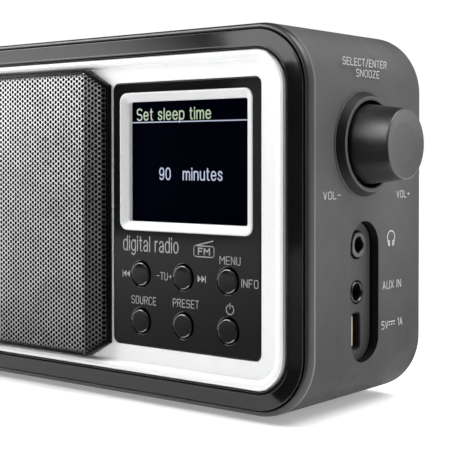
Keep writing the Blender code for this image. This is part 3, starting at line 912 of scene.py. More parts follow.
def makeFrontFrame():
    rim = shellShape["rim"]
    inner = frontShape["bezelIn"]
    sections = [
        inset(rim + 0.1, 5.5),
        inset(rim + 0.1, 0.1),
        inset(rim + 0.22, -0.3),
        inset(rim + 0.6, -0.32),
        inset(inner - 1.2, -0.5),
        inset(inner - 1.06, -0.63),
        inset(inner - 0.3, -0.65),
        inset(inner - 0.12, -0.4),
        inset(inner - 0.12, 5.5),
    ]
    made = lofted(
        "frontFrame", "gloss_black", "y", heart, soften(sections, 0.14, 3, True), shellShape["steps"], True
    )
    place(made, "radio", "gloss_black", "front_frame")


panelLow, panelHigh = local("control_panel")
panelMiddle = (panelLow + panelHigh) / 2
panelWide = panelHigh.x - panelLow.x
panelTall = panelHigh.z - panelLow.z


def makeBezel():
    inner = frontShape["bezelIn"]
    ridge = frontShape["ridgeIn"]
    wide = cabinetWidth - 2 * (ridge + 0.9)
    tall = cabinetTall - 2 * ridge
    sections = [
        inset(inner + 0.1, 3.0),
        inset(inner + 0.1, -0.3),
        inset(inner + 0.45, -1.0),
        inset(inner + 1.2, -1.5),
        inset(inner + 2.2, -1.35),
        inset(inner + 2.7, -0.8),
        (wide + 0.5, tall + 0.3, 7.4, -0.45),
        (wide, tall, 7.2, 0.0),
    ]
    shaped = soften(sections, 0.45, 4)
    made = lofted("bezel", "silver_paint", "y", heart, shaped, shellShape["steps"])
    grilleMiddle = middle("speaker_grille")

    def openings(bm):
        ends = []
        for along in (-4.0, 6.0):
            ends.append((panelWide + 0.4, panelTall + 0.4, 2.2, along))
        loft(bm, "y", (panelMiddle.x, panelMiddle.z), ends, 8)

    def speakerHole(bm):
        radius = frontShape["speakerHole"]
        ends = ((0.0, -4.0), (radius, -4.0), (radius, 6.0), (0.0, 6.0))
        turn(bm, "y", (grilleMiddle.x, grilleMiddle.z), ends, 72)

    def lip(point, facing):
        return facing.x > 0.4 and point.y < 0.0 and -0.8 < facing.y < 0.2

    carve(made, "DIFFERENCE", openings)
    carve(made, "DIFFERENCE", speakerHole)
    # the right-hand lip takes the darker copy of the silver, painted shade
    repaint(made, "shaded_silver_lip", lip)
    place(made, "radio", "silver_paint", "bezel")


keyNames = [f"button_{number}" for number in range(1, 7)]
keyShape = {
    "radius": 3.36,
    "groove": 3.98,          # radius of the hole in the panel
    "chamfer": 0.13,
    "proud": 0.6,            # how far a cap stands in front of the panel
    # where an edge gets a painted highlight: a direction across and up, and how far out that way it starts
    "holeCatch": ((-0.69, 0.72, 0.72), (0.34, -0.94, 0.8)),
    "capCatch": ((-0.78, 0.62, 0.3), (0.34, -0.94, 0.85)),
}
lcdLow, lcdHigh = local("lcd_frame")
lcdMiddle = (lcdLow + lcdHigh) / 2
lcdWide = lcdHigh.x - lcdLow.x
lcdTall = lcdHigh.z - lcdLow.z


# whether a point lies where an edge gets a painted highlight
def catches(x, z, reach, spots):
    return any(x * across + z * up > share * reach for across, up, share in spots)


def makePanel():
    rear = panelHigh.y
    sections = [
        (panelWide, panelTall, 2.0, rear),
        (panelWide, panelTall, 2.0, 0.05),
        (panelWide - 0.4, panelTall - 0.4, 1.8, -panelProud),
    ]
    shaped = soften(sections, 0.15, 3)
    made = lofted("controlPanel", "panel_black", "y", (panelMiddle.x, panelMiddle.z), shaped, 10)

    keySpots = [middle(name) for name in keyNames]

    def screenHole(bm):
        ends = []
        for along in (-3.0, 4.0):
            ends.append((lcdWide + 0.3, lcdTall + 0.3, 2.9, along))
        loft(bm, "y", (lcdMiddle.x, lcdMiddle.z), ends, 10)

    def keyHoles(bm):
        groove = keyShape["groove"]
        lip = groove + keyShape["chamfer"]
        face = -panelProud
        ends = [(0.0, -3.0), (lip + 2.8, -3.0), (lip, face), (groove, face + 0.25), (groove, 4.0), (0.0, 4.0)]
        for spot in keySpots:
            turn(bm, "y", (spot.x, spot.z), ends, 56)

    carve(made, "DIFFERENCE", screenHole)
    carve(made, "DIFFERENCE", keyHoles)

    def keyEdge(point, facing):
        if point.y > 0.3 or not -0.97 < facing.y < -0.2:
            return False
        apart = [(point.x - spot.x, point.z - spot.z) for spot in keySpots]
        x, z = min(apart, key=lambda gap: math.hypot(*gap))
        near = math.hypot(x, z)
        return near < keyShape["groove"] + 0.5 and catches(x, z, near, keyShape["holeCatch"])

    # painted highlights on parts of each hole's chamfer
    repaint(made, "highlight_gloss", keyEdge)
    place(made, "radio", "gloss_black", "control_panel")


def makeKeys():
    radius = keyShape["radius"]
    for name in keyNames:
        low, high = local(name)
        spot = (low + high) / 2
        face = max(low.y, -panelProud - keyShape["proud"])
        # a stem, a flange behind the panel and the cap
        profile = [
            (0.0, high.y), (1.4, high.y), (1.4, 3.2), (4.9, 3.2), (4.9, 2.2), (radius, 2.2),
            (radius, face + 0.3), (radius - 0.1, face + 0.1), (radius - 0.26, face + 0.02), (0.0, face),
        ]
        shaped = soften(profile, 0.08, 3)
        made = turned(name.replace("_", ""), "panel_black", "y", (spot.x, spot.z), shaped, 56, False, 50.0)

        def capEdge(point, facing):
            onEdge = point.y < face + 0.32 and -0.97 < facing.y < -0.2
            return onEdge and catches(point.x - spot.x, point.z - spot.z, radius, keyShape["capCatch"])

        # painted highlights on parts of each cap's edge
        repaint(made, "highlight_gloss", capEdge)
        number = name.split("_")[1]
        place(made, f"key_{number}", "gloss_black", name)


screenShape = {
    "border": 2.7,           # width of the sloping silver frame
    "corner": 2.8,
    "inset": 0.6,            # how far the lit face stays inside the module's edge
    "lit": (0.14, 0.04),     # the lit face lies this far in front of the module
}


def makeScreen():
    wide = lcdWide - 2 * screenShape["border"]
    tall = lcdTall - 2 * screenShape["border"]
    corner = screenShape["corner"]
    rear = lcdHigh.y
    sections = [
        (lcdWide, lcdTall, corner, rear),
        (lcdWide, lcdTall, corner, -0.2),
        (lcdWide - 0.4, lcdTall - 0.4, corner - 0.2, -0.4),
        (lcdWide - 1.2, lcdTall - 1.2, corner - 0.6, -0.4),
        (wide + 0.6, tall + 0.6, 1.0, 0.8),
        (wide, tall, 0.8, 1.0),
        (wide, tall, 0.8, rear),
    ]
    shaped = soften(sections, 0.3, 4, True)
    made = lofted("screenFrame", "frame_silver", "y", (lcdMiddle.x, lcdMiddle.z), shaped, 10, True)
    place(made, "radio", "frame_silver", "lcd_frame")
    low, high = local("display_window")
    pane = boxed("displayWindow", "window_dark", low, high, 0.15)
    place(pane, "radio", "window_dark", "display_window")
    low, high = local("lcd_module")
    module = boxed("displayModule", "module_grey", low, high, 0.3)
    place(module, "radio", "module_grey", "lcd_module")
    finish["screen_glow"] = screenGlow("screenGlow", low.x + origin.x, "face")
    inward = screenShape["inset"]
    front, rear = screenShape["lit"]
    corner = (low.x + inward, low.y - front, low.z + inward)
    across = (high.x - inward, low.y - rear, high.z - inward)
    lit = boxed("displayFace", "screen_glow", corner, across, 0.04)
    place(lit, "radio")


makeFrontFrame()
makeBezel()
makePanel()
makeKeys()
makeScreen()
print("front made")

# the grille is a perforated sheet in two halves, with a plain rolled rim
grilleLow, grilleHigh = local("speaker_grille")
grilleShape = {
    "column": 1.194,         # spacing of the holes
    "row": 1.53,
    "hole": 0.58,            # their radius
    "sides": 10,
    "facet": 8.3,            # width of the slanting ends
    "endStand": 3.15,        # how far the sheet stands out where they end
    "endShort": 4.7,         # how much shorter it is there
    "turn": 2.6,             # width of the curl at each end
    "sheet": 0.5,
    "margin": 0.4,           # what is left of the half height outside the last row
}
sheetLooks = ["grille_metal", "hole_shade_black", "shaded_facet_metal"]
grilleMid = (grilleLow + grilleHigh) / 2
grilleHalf = (grilleHigh.x - grilleLow.x) / 2
grilleTall = (grilleHigh.z - grilleLow.z) / 2
grilleStand = -grilleLow.y


def grilleSurface(x):
    # how far the sheet stands out at a distance x from its middle
    inner = grilleHalf - grilleShape["facet"]
    away = abs(x)
    if away <= inner:
        return grilleStand
    curl = grilleShape["turn"]
    share = (away - inner) / (grilleShape["facet"] - curl)
    stand = grilleStand - (grilleStand - grilleShape["endStand"]) * min(share, 1.0)
    over = away - (grilleHalf - curl)
    if over > 0:
        reach = min(over / curl, 1.0)
        stand -= (grilleShape["endStand"] - 0.4) * (1 - math.sqrt(max(0.0, 1 - reach * reach)))
    return stand


def grilleEdge(x):
    # half height of the sheet at a distance x from its middle
    inner = grilleHalf - grilleShape["facet"]
    away = abs(x)
    if away <= inner:
        return grilleTall
    return grilleTall - grilleShape["endShort"] * (away - inner) / grilleShape["facet"]


def makeGrilleHalf(name, side):
    shape = grilleShape
    hole = sheetLooks.index("hole_shade_black")
    facet = sheetLooks.index("shaded_facet_metal")
    bm = bmesh.new()
    corners = {}

    def spot(x, z):
        key = (round(x, 3), round(z, 3))
        if key not in corners:
            limit = max(-grilleHalf + 0.05, min(grilleHalf - 0.05, x))
            corners[key] = bm.verts.new((grilleMid.x + limit, -grilleSurface(limit) + 0.03, grilleMid.z + z))
        return corners[key]

    columns = int(grilleHalf / shape["column"]) + 1
    rows = int(grilleTall / shape["row"]) + 1
    halfColumn = shape["column"] / 2
    halfRow = shape["row"] / 2
    for column in range(-columns, columns + 1):
        x = column * shape["column"]
        if (x < 0) != (side < 0):
            continue
        if abs(x) + halfColumn > grilleHalf:
            continue
        shift = halfRow if column % 2 else 0.0
        for row in range(-rows, rows + 1):
            z = row * shape["row"] + shift
            if abs(z) + halfRow > grilleEdge(abs(x) + halfColumn) - shape["margin"]:
                continue
            around = [
                spot(x + halfColumn, z), spot(x + halfColumn, z + halfRow), spot(x, z + halfRow),
                spot(x - halfColumn, z + halfRow), spot(x - halfColumn, z), spot(x - halfColumn, z - halfRow),
                spot(x, z - halfRow), spot(x + halfColumn, z - halfRow),
            ]
            # the slanting ends take the darker copy of the metal, painted shade
            coat = facet if abs(x) > grilleHalf - shape["facet"] else 0
            sides = shape["sides"]
            front = []
            rear = []
            for step in range(sides):
                angle = 2 * math.pi * step / sides
                hx = x + shape["hole"] * math.cos(angle)
                hz = z + shape["hole"] * math.sin(angle)
                y = -grilleSurface(hx) + 0.03
                front.append(bm.verts.new((grilleMid.x + hx, y, grilleMid.z + hz)))
                rear.append(bm.verts.new((grilleMid.x + hx, y + shape["sheet"], grilleMid.z + hz)))
            # the hole walls are painted black, painted shade
            for step in range(sides):
                following = (step + 1) % sides
                wall = bm.faces.new((front[step], front[following], rear[following], rear[step]))
                wall.material_index = hole
            # the ring of metal between the hole and the eight points round it
            outer = 0
            inner = 0
            while outer < 8 or inner < sides:
                a = around[outer % 8]
                b = front[inner % sides]
                if inner >= sides or (outer < 8 and (outer + 1) / 8 <= (inner + 1) / sides):
                    bm.faces.new((a, around[(outer + 1) % 8], b)).material_index = coat
                    outer += 1
                else:
                    bm.faces.new((a, front[(inner + 1) % sides], b)).material_index = coat
                    inner += 1
    for vert in bm.verts:
        vert.co = world(vert.co)
    mesh = bpy.data.meshes.new(name)
    bm.normal_update()
    bm.to_mesh(mesh)
    bm.free()
    for look in sheetLooks:
        mesh.materials.append(finish[look])
    made = bpy.data.objects.new(name, mesh)
    bpy.context.collection.objects.link(made)
    place(made, "radio", "grille_metal", "speaker_grille")


def rimRing(bm, takenX, takenZ, dropEnd, dropFlat):
    # one turn round the eight-cornered outline, smaller and lower by the amounts given
    short = grilleTall - grilleShape["endShort"]
    end = (grilleHalf - takenX, short - takenZ, dropEnd - grilleShape["endStand"])
    flat = (grilleHalf - grilleShape["facet"], grilleTall - takenZ, dropFlat - grilleStand)
    ring = []
    for right, up in ((1, 1), (-1, 1), (-1, -1), (1, -1)):
        for x, z, y in ((end, flat) if right == up else (flat, end)):
            ring.append(bm.verts.new((grilleMid.x + right * x, y, grilleMid.z + up * z)))
    return ring


def makeGrilleRim():
    # each level: how much smaller in X and Z, and how much lower at the ends and along the flat
    stand = grilleStand
    end = grilleShape["endStand"]
    levels = [
        (0.0, 0.0, end - 0.15, stand - 0.15),
        (0.0, 0.0, 2.3, 1.5),
        (0.1, 0.1, 1.9, 0.75),
        (0.25, 0.45, 1.5, 0.2),
        (0.5, 0.95, 1.15, 0.0),
        (0.7, 1.3, 0.95, 0.0),
        (0.8, 1.3, 1.4, 0.4),
        (0.7, 0.9, 1.8, 0.7),
        (0.5, 0.6, 2.4, 1.7),
        (0.7, 0.6, end - 0.15, stand - 0.15),
    ]
    bm = bmesh.new()
    rings = [rimRing(bm, *level) for level in soften(levels, 0.3, 3, True)]
    for k, ring in enumerate(rings):
        following = rings[(k + 1) % len(rings)]
        for i in range(8):
            j = (i + 1) % 8
            bm.faces.new((ring[i], ring[j], following[j], following[i]))
    # the rolled rim takes a near-black copy of the metal, painted shade
    made = solid("grilleRim", bm, "shaded_rim_metal", 40.0)
    place(made, "radio", "grille_metal", "speaker_grille")


linerShape = {"front": -0.32, "rear": -0.06}


def makeGrilleBack():
    # a black liner, a dark sheet standing in for the shade behind the holes, so that nothing bright shows
    # through them
    x = grilleHalf - 1.0
    flat = grilleHalf - grilleShape["facet"]
    tall = grilleTall - 1.5
    short = grilleTall - grilleShape["endShort"] - 1.0
    half = [(x, short), (flat, tall), (-flat, tall), (-x, short)]
    corners = half + [(-u, -v) for u, v in half]
    bm = bmesh.new()
    front = [bm.verts.new((grilleMid.x + u, linerShape["front"], grilleMid.z + v)) for u, v in corners]
    rear = [bm.verts.new((grilleMid.x + u, linerShape["rear"], grilleMid.z + v)) for u, v in corners]
    bm.faces.new(front)
    bm.faces.new(rear)
    for i in range(8):
        j = (i + 1) % 8
        bm.faces.new((front[i], front[j], rear[j], rear[i]))
    made = solid("grilleLiner", bm, "cloth_black")
    place(made, "radio", "grille_metal", "speaker_grille")


def makeCloth():
    low, high = local("grille_cloth")
    made = boxed("grilleCloth", "cloth_black", low, high, 0.1)
    place(made, "radio", "cloth_black", "grille_cloth")


makeGrilleHalf("grilleLeft", -1)
makeGrilleHalf("grilleRight", 1)
makeGrilleRim()
makeGrilleBack()
makeCloth()
print("grille made")

knobFace = local("knob")[1].x
finish["knob_grey"] = turnedMetal(
    "knobGrey", knobLook["colour"], knobLook["roughness"], world((0.0, *knobCentre)),
    knobLook["turning"], knobLook["ringDepth"],
)
collarShape = {"hole": 12.3, "top": 13.5}
knobShape = {
    "skirt": 11.35,          # radius next to the collar
    "end": 9.82,             # radius at the face
    "dish": 1.15,            # depth of the hollow in the face
    "bore": 3.6,
}


def makeKnob():
    side = rightFace
    top = collarShape["top"]
    hole = collarShape["hole"]
    rise = collarHigh.x - side
    ring = [
        (hole, side - 3.4), (top, side - 3.4), (top, side + 0.15), (collarBase, side + 0.15),
        (collarBase, side + 0.4), (top + 0.15, side + rise - 0.3), (top - 0.15, side + rise),
        (hole + 0.2, side + rise), (hole, side + rise - 0.25),
    ]
    collar = turned("knobCollar", "cabinet_grey", "x", knobCentre, soften(ring, 0.12, 3, True), 96, True)

    def away(point):
        return math.hypot(point.y - knobCentre[0], point.z - knobCentre[1])

    # painted shade on the cone and the inner wall, painted highlights on the thin edges between them
    def shaded(point, facing):
        cone = away(point) > top - 0.1 and facing.x < 0.85
        return cone or (away(point) < hole + 0.1 and facing.x < 0.6)

    def lit(point, facing):
        return away(point) > collarBase - 0.14 or (away(point) > top - 0.3 and 0.85 <= facing.x < 0.97)

    repaint(collar, "shade_grey", shaded)
    repaint(collar, "highlight_grey", lit)
    place(collar, "radio", "cabinet_grey", "knob_collar")
    skirt = knobShape["skirt"]
    end = knobShape["end"]
    dish = knobShape["dish"]
    bore = knobShape["bore"]
    body = [
        (0.0, side + 1.6), (bore, side + 1.6), (bore, side - 1.6), (bore + 1.6, side - 1.6),
        (bore + 1.6, side + 0.6), (skirt - 0.15, side + 0.6), (skirt, side + 1.2), (skirt - 0.25, side + 3.6),
        (end + 0.13, knobFace - 1.2), (end, knobFace - 0.3), (end - 0.17, knobFace - 0.05),
        (end - 0.42, knobFace), (end - 1.02, knobFace - 0.16), (6.0, knobFace - dish + 0.35),
        (3.0, knobFace - dish + 0.1), (0.0, knobFace - dish),
    ]
    made = turned("knob", "knob_grey", "x", knobCentre, soften(body, 0.15, 3), 96, False, 35.0)
    made.name = "volumeKnob"
    place(made, "volume_knob", "knob_grey", "knob")


jackShape = {
    # finish, slot, radius of the ring, radius of its mouth
    "headphone_jack": ("nickel", "nickel", 3.7, 2.2),
    "aux_jack": ("jack_black", "switch_black", 3.1, 2.35),
}
jackDepth = {"shoulder": 2.1, "mouth": 13.0}
usbShape = {
    "shell": (4.3, 10.3, 1.1, 7.6),      # width, height, corner and depth
    "wall": 0.1,
    "blade": (-1.95, -0.75, 4.3),        # from and to in Y, and half its height
}


def makeJacks():
    floor = plateHigh.x
    shoulder = floor - jackDepth["shoulder"]
    deep = floor - jackDepth["mouth"]
    for node, (look, slot, ring, hole) in jackShape.items():
        low, high = local(node)
        spot = (low + high) / 2
        out = high.x
        profile = [
            (0.0, deep - 0.5), (ring, deep - 0.5), (ring, out - 0.3), (ring - 0.3, out), (hole + 0.35, out),
            (hole, out - 0.4), (hole, deep), (0.0, deep),
        ]
        name = node.replace("_jack", "")
        nose = turned(name + "Ring", look, "x", (spot.y, spot.z), soften(profile, 0.15, 3), 56)
        housing = boxed(name + "Housing", "switch_black", low, (shoulder, high.y, high.z))

        def clear(bm):
            radius = ring + 0.05
            ends = ((0.0, deep - 1.5), (radius, deep - 1.5), (radius, shoulder + 2), (0.0, shoulder + 2))
            turn(bm, "x", (spot.y, spot.z), ends, 40)

        carve(housing, "DIFFERENCE", clear)
        place(nose, "radio", slot, node)
        place(housing, "radio", slot, node)


def makeUsb():
    low, high = local("usb_socket")
    spot = (low + high) / 2
    mouth = high.x
    wide, tall, corner, depth = usbShape["shell"]
    wall = usbShape["wall"]
    inner = (wide - 2 * wall, tall - 2 * wall, corner - wall)
    shell = [
        (wide, tall, corner, mouth - depth), (wide, tall, corner, mouth), (*inner, mouth),
        (*inner, mouth - depth + 0.6),
    ]
    # the steel shell is painted black, painted shade inside the slot
    socket = lofted("usbSocket", "hole_shade_black", "x", (spot.y, spot.z), soften(shell, 0.05, 2), 6)
    place(socket, "radio", "usb_steel", "usb_socket")
    near, far, half = usbShape["blade"]
    start = (mouth - 7.2, spot.y + near, spot.z - half)
    end = (mouth - 0.2, spot.y + far, spot.z + half)
    blade = boxed("usbBlade", "usb_steel", start, end, 0.15)
    place(blade, "radio", "usb_steel", "usb_socket")


makeKnob()
makeJacks()
makeUsb()
print("side made")


aerialShape = {
    "disc": (5.6, 1.4),          # radius and thickness of the turning foot
    "cheek": (2.6, 0.9, 3.9),    # half width, half thickness, distance from the middle
    "pinHole": 1.3,
    "pin": (1.1, 4.6),           # radius and half length
    "tube": 2.6,                 # radius of the outer tube
    "bore": 2.2,
    "wall": 0.35,
    "tip": 2.7,
}


def makeAerial():
    low, high = local("aerial_base")
    spot = (low + high) / 2
    radius = (high.x - low.x) / 2
    profile = [(0.0, low.y), (radius, low.y), (radius, high.y - 0.4), (radius - 0.5, high.y), (0.0, high.y)]
    base = turned("aerialBase", "cover_black", "y", (spot.x, spot.z), soften(profile, 0.2, 3), 56)
    place(base, "radio", "cover_black", "aerial_base")
    low, high = local("aerial_swivel")
    spot = (low + high) / 2
    radius, thick = aerialShape["disc"]
    disc = [(0.0, low.y), (radius, low.y), (radius, low.y + thick), (0.0, low.y + thick)]
    fork = turned("aerialSwivel", "cover_black", "y", (spot.x, spot.z), soften(disc, 0.2, 3), 56)
    rodY = middle("aerial_section_1").y

    def cheeks(bm):
        wide, half, apart = aerialShape["cheek"]
        for side in (-1, 1):
            z = spot.z + side * apart
            block(bm, (spot.x - wide, low.y + 0.6, z - half), (spot.x + wide, high.y, z + half))

    def pinHole(bm):
        bore = aerialShape["pinHole"]
        ends = ((0.0, spot.z - 8), (bore, spot.z - 8), (bore, spot.z + 8), (0.0, spot.z + 8))
        turn(bm, "z", (spot.x, rodY), ends, 32)

    carve(fork, "UNION", cheeks)
    carve(fork, "DIFFERENCE", pinHole)
    edge(fork, 0.2)
    place(fork, "aerial_foot", "cover_black", "aerial_swivel")


def makeRod():
    low, high = local("aerial_section_1")
    swivel = middle("aerial_swivel")
    rod = ((low.y + high.y) / 2, swivel.z)
    start = high.x
    end = low.x
    radius = aerialShape["tube"]
    bore = aerialShape["bore"]
    tube = [
        (0.0, start), (bore, start), (radius, start - 0.5), (radius, end + 0.15), (radius - 0.15, end),
        (bore, end), (bore, start - 9.0), (0.0, start - 9.0),
    ]
    root = turned("aerialRoot", "chrome", "x", rod, soften(tube, 0.12, 3), 56)

    def pin(bm):
        radius, half = aerialShape["pin"]
        low, high = swivel.z - half, swivel.z + half
        turn(bm, "z", (swivel.x, rod[0]), ((0.0, low), (radius, low), (radius, high), (0.0, high)), 32)

    carve(root, "UNION", pin)
    place(root, "aerial_rod", "chrome", "aerial_section_1")
    for number, body in ((2, "aerial_stage_2"), (3, "aerial_stage_3")):
        low, high = local(f"aerial_section_{number}")
        radius = (high.z - low.z) / 2
        bore = radius - aerialShape["wall"]
        tube = [
            (0.0, high.x), (radius, high.x), (radius, low.x + 0.12), (radius - 0.12, low.x), (bore, low.x),
            (bore, high.x - 1.0), (0.0, high.x - 1.0),
        ]
        made = turned(f"aerialTube{number}", "chrome", "x", rod, soften(tube, 0.08, 3), 48)
        place(made, body, "chrome", f"aerial_section_{number}")
    low, high = local("aerial_tip")
    end = low.x
    ball = end + 3.8
    radius = aerialShape["tip"]
    tip = [
        (0.0, high.x), (1.05, high.x), (1.05, ball), (radius - 0.3, ball), (radius, ball - 0.5),
        (radius, ball - 2.6), (radius - 0.5, end + 0.3), (radius - 1.3, end), (0.0, end),
    ]
    made = turned("aerialTip", "chrome", "x", rod, soften(tip, 0.25, 4), 48)
    place(made, "aerial_stage_4", "chrome", "aerial_tip")


makeAerial()
makeRod()
print("aerial made")

frontTurn = Matrix(((1, 0, 0), (0, 0, -1), (0, 1, 0)))
sideTurn = Matrix(((0, 0, 1), (1, 0, 0), (0, 1, 0)))
letterLook = {"thick": 0.02, "lift": 0.012, "step": 0.002}


def sign(name, shapes, where, look, turnBy):
    # thin flat outlines given as lists of (across, up) points in mm
    bm = bmesh.new()
    thick = letterLook["thick"]
    for number, shape in enumerate(shapes):
        # neighbours lie at slightly different heights, so no two faces share a plane
        rise = letterLook["step"] * (number % 20)
        low = [bm.verts.new((u, v, rise - thick)) for u, v in shape]
        high = [bm.verts.new((u, v, rise + thick)) for u, v in shape]
        bm.faces.new(low)
        bm.faces.new(high)
        for i in range(len(shape)):
            j = (i + 1) % len(shape)
            bm.faces.new((low[i], low[j], high[j], high[i]))
    for vert in bm.verts:
        vert.co = turnBy @ vert.co + Vector(where)
    place(solid(name, bm, look), "radio")


def strip(points, width, closed=False):
    # a line of the given width through the points, with round joints
    made = []
    count = len(points)
    for i in range(count if closed else count - 1):
        a = Vector(points[i])
        b = Vector(points[(i + 1) % count])
        run = (b - a).normalized()
        side = Vector((-run.y, run.x)) * width / 2
        made.append([tuple(a - side), tuple(b - side), tuple(b + side), tuple(a + side)])
    for point in points:
        made.append(arc(point, width / 2, 0, 315, 7))
    return made


def arc(centre, radius, start, end, steps, squeeze=1.0):
    points = []
    for step in range(steps + 1):
        angle = math.radians(start + (end - start) * step / steps)
        points.append((centre[0] + radius * math.cos(angle) * squeeze, centre[1] + radius * math.sin(angle)))
    return points


panelFace = -panelProud - letterLook["thick"] - letterLook["lift"]
sideFace = rightFace + letterLook["thick"] + letterLook["lift"]

# plain line letters on a grid one wide and two tall: width, then the lines
glyphs = {
    "A": (1.0, [[(0, 0), (0.5, 2), (1, 0)], [(0.2, 0.65), (0.8, 0.65)]]),
    "C": (1.0, [[(1, 1.7), (0.75, 2), (0.25, 2), (0, 1.7), (0, 0.3), (0.25, 0), (0.75, 0), (1, 0.3)]]),
    "E": (0.95, [[(0.95, 2), (0, 2), (0, 0), (0.95, 0)], [(0, 1), (0.8, 1)]]),
    "F": (0.95, [[(0.95, 2), (0, 2), (0, 0)], [(0, 1), (0.8, 1)]]),
    "I": (0.0, [[(0, 0), (0, 2)]]),
    "L": (0.9, [[(0, 2), (0, 0), (0.9, 0)]]),
    "M": (1.3, [[(0, 0), (0, 2), (0.65, 0.9), (1.3, 2), (1.3, 0)]]),
    "N": (1.0, [[(0, 0), (0, 2), (1, 0), (1, 2)]]),
    "O": (1.0, [[(0.25, 0), (0, 0.3), (0, 1.7), (0.25, 2), (0.75, 2), (1, 1.7), (1, 0.3), (0.75, 0),
                 (0.25, 0)]]),
    "P": (1.0, [[(0, 0), (0, 2), (0.75, 2), (1, 1.75), (1, 1.15), (0.75, 0.9), (0, 0.9)]]),
    "R": (1.0, [[(0, 0), (0, 2), (0.75, 2), (1, 1.75), (1, 1.25), (0.75, 1), (0, 1)], [(0.5, 1), (1, 0)]]),
    "S": (1.0, [[(1, 1.75), (0.75, 2), (0.25, 2), (0, 1.75), (0, 1.25), (0.25, 1), (0.75, 1), (1, 0.75),
                 (1, 0.25), (0.75, 0), (0.25, 0), (0, 0.25)]]),
    "T": (1.0, [[(0, 2), (1, 2)], [(0.5, 2), (0.5, 0)]]),
    "U": (1.0, [[(0, 2), (0, 0.3), (0.25, 0), (0.75, 0), (1, 0.3), (1, 2)]]),
    "V": (1.0, [[(0, 2), (0.5, 0), (1, 2)]]),
    "X": (1.0, [[(0, 0), (1, 2)], [(0, 2), (1, 0)]]),
    "Z": (1.0, [[(0, 2), (1, 2), (0, 0), (1, 0)]]),
    "1": (0.4, [[(0, 1.6), (0.4, 2), (0.4, 0)]]),
    "5": (1.0, [[(1, 2), (0.05, 2), (0, 1.15), (0.75, 1.15), (1, 0.9), (1, 0.25), (0.75, 0), (0, 0)]]),
    "/": (0.8, [[(0, -0.2), (0.8, 2.2)]]),
    "+": (0.9, [[(0, 1), (0.9, 1)], [(0.45, 0.55), (0.45, 1.45)]]),
    "-": (0.9, [[(0, 1), (0.9, 1)]]),
    " ": (0.3, []),
    "0": (0.95, [[(0.47, 0), (0.18, 0.12), (0.03, 0.5), (0, 1), (0.03, 1.5), (0.18, 1.88), (0.47, 2),
                  (0.77, 1.88), (0.92, 1.5), (0.95, 1), (0.92, 0.5), (0.77, 0.12), (0.47, 0)]]),
    "9": (0.95, [[(0.06, 0.32), (0.25, 0.05), (0.5, 0), (0.78, 0.15), (0.92, 0.6), (0.95, 1.2), (0.9, 1.65),
                  (0.72, 1.92), (0.46, 2), (0.18, 1.88), (0, 1.45), (0.03, 1.1), (0.2, 0.82), (0.46, 0.74),
                  (0.72, 0.85), (0.92, 1.15)]]),
    "a": (0.85, [[(0.04, 1.12), (0.15, 1.38), (0.45, 1.48), (0.72, 1.36), (0.85, 1.1), (0.85, 0)],
                 [(0.85, 0.85), (0.4, 0.78), (0.1, 0.65), (0, 0.4), (0.08, 0.12), (0.35, 0), (0.62, 0.1),
                  (0.85, 0.38)]]),
    "d": (0.92, [[(0.92, 2), (0.92, 0)], [(0.92, 1.1), (0.72, 1.4), (0.45, 1.48), (0.17, 1.36), (0, 1.05),
                  (0, 0.45), (0.17, 0.12), (0.45, 0), (0.72, 0.1), (0.92, 0.35)]]),
    "e": (0.95, [[(0.02, 0.77), (0.95, 0.77), (0.9, 1.12), (0.7, 1.4), (0.45, 1.48), (0.2, 1.38), (0.04, 1.1),
                  (0, 0.72), (0.06, 0.35), (0.25, 0.08), (0.5, 0), (0.75, 0.08), (0.93, 0.32)]]),
    "g": (0.92, [[(0.92, 1.45), (0.92, -0.1), (0.8, -0.42), (0.48, -0.55), (0.2, -0.48), (0.06, -0.3)],
                 [(0.92, 1.1), (0.72, 1.4), (0.45, 1.48), (0.17, 1.36), (0, 1.05), (0, 0.45), (0.17, 0.12),
                  (0.45, 0), (0.72, 0.1), (0.92, 0.35)]]),
    "i": (0.0, [[(0, 0), (0, 1.45)], [(0, 1.8), (0, 2.0)]]),
    "l": (0.0, [[(0, 0), (0, 2)]]),
    "m": (1.4, [[(0, 0), (0, 1.45)], [(0, 1.1), (0.2, 1.4), (0.45, 1.46), (0.65, 1.3), (0.7, 1.05), (0.7, 0)],
                [(0.7, 1.1), (0.9, 1.4), (1.15, 1.46), (1.35, 1.3), (1.4, 1.05), (1.4, 0)]]),
    "n": (0.85, [[(0, 0), (0, 1.45)], [(0, 1.1), (0.22, 1.4), (0.5, 1.46), (0.75, 1.32), (0.85, 1.05),
                 (0.85, 0)]]),
    "o": (0.95, [[(0.47, 0), (0.16, 0.14), (0, 0.5), (0, 0.98), (0.16, 1.34), (0.47, 1.48), (0.78, 1.34),
                  (0.95, 0.98), (0.95, 0.5), (0.78, 0.14), (0.47, 0)]]),
    "p": (0.92, [[(0, 1.45), (0, -0.55)], [(0, 1.15), (0.2, 1.4), (0.48, 1.48), (0.75, 1.36), (0.92, 1.05),
                  (0.92, 0.45), (0.75, 0.12), (0.48, 0), (0.2, 0.1), (0, 0.35)]]),
    "r": (0.5, [[(0, 0), (0, 1.45)], [(0, 1.0), (0.18, 1.35), (0.5, 1.46)]]),
    "s": (0.8, [[(0.78, 1.15), (0.68, 1.38), (0.4, 1.48), (0.12, 1.38), (0.04, 1.12), (0.15, 0.88),
                 (0.42, 0.76), (0.68, 0.64), (0.8, 0.4), (0.7, 0.12), (0.42, 0), (0.12, 0.1), (0, 0.36)]]),
    "t": (0.5, [[(0.2, 1.95), (0.2, 0.25), (0.33, 0.02), (0.52, 0.02)], [(0, 1.45), (0.5, 1.45)]]),
    "u": (0.85, [[(0.85, 0), (0.85, 1.45)], [(0.85, 0.35), (0.63, 0.06), (0.35, 0), (0.1, 0.14), (0, 0.4),
                  (0, 1.45)]]),
}
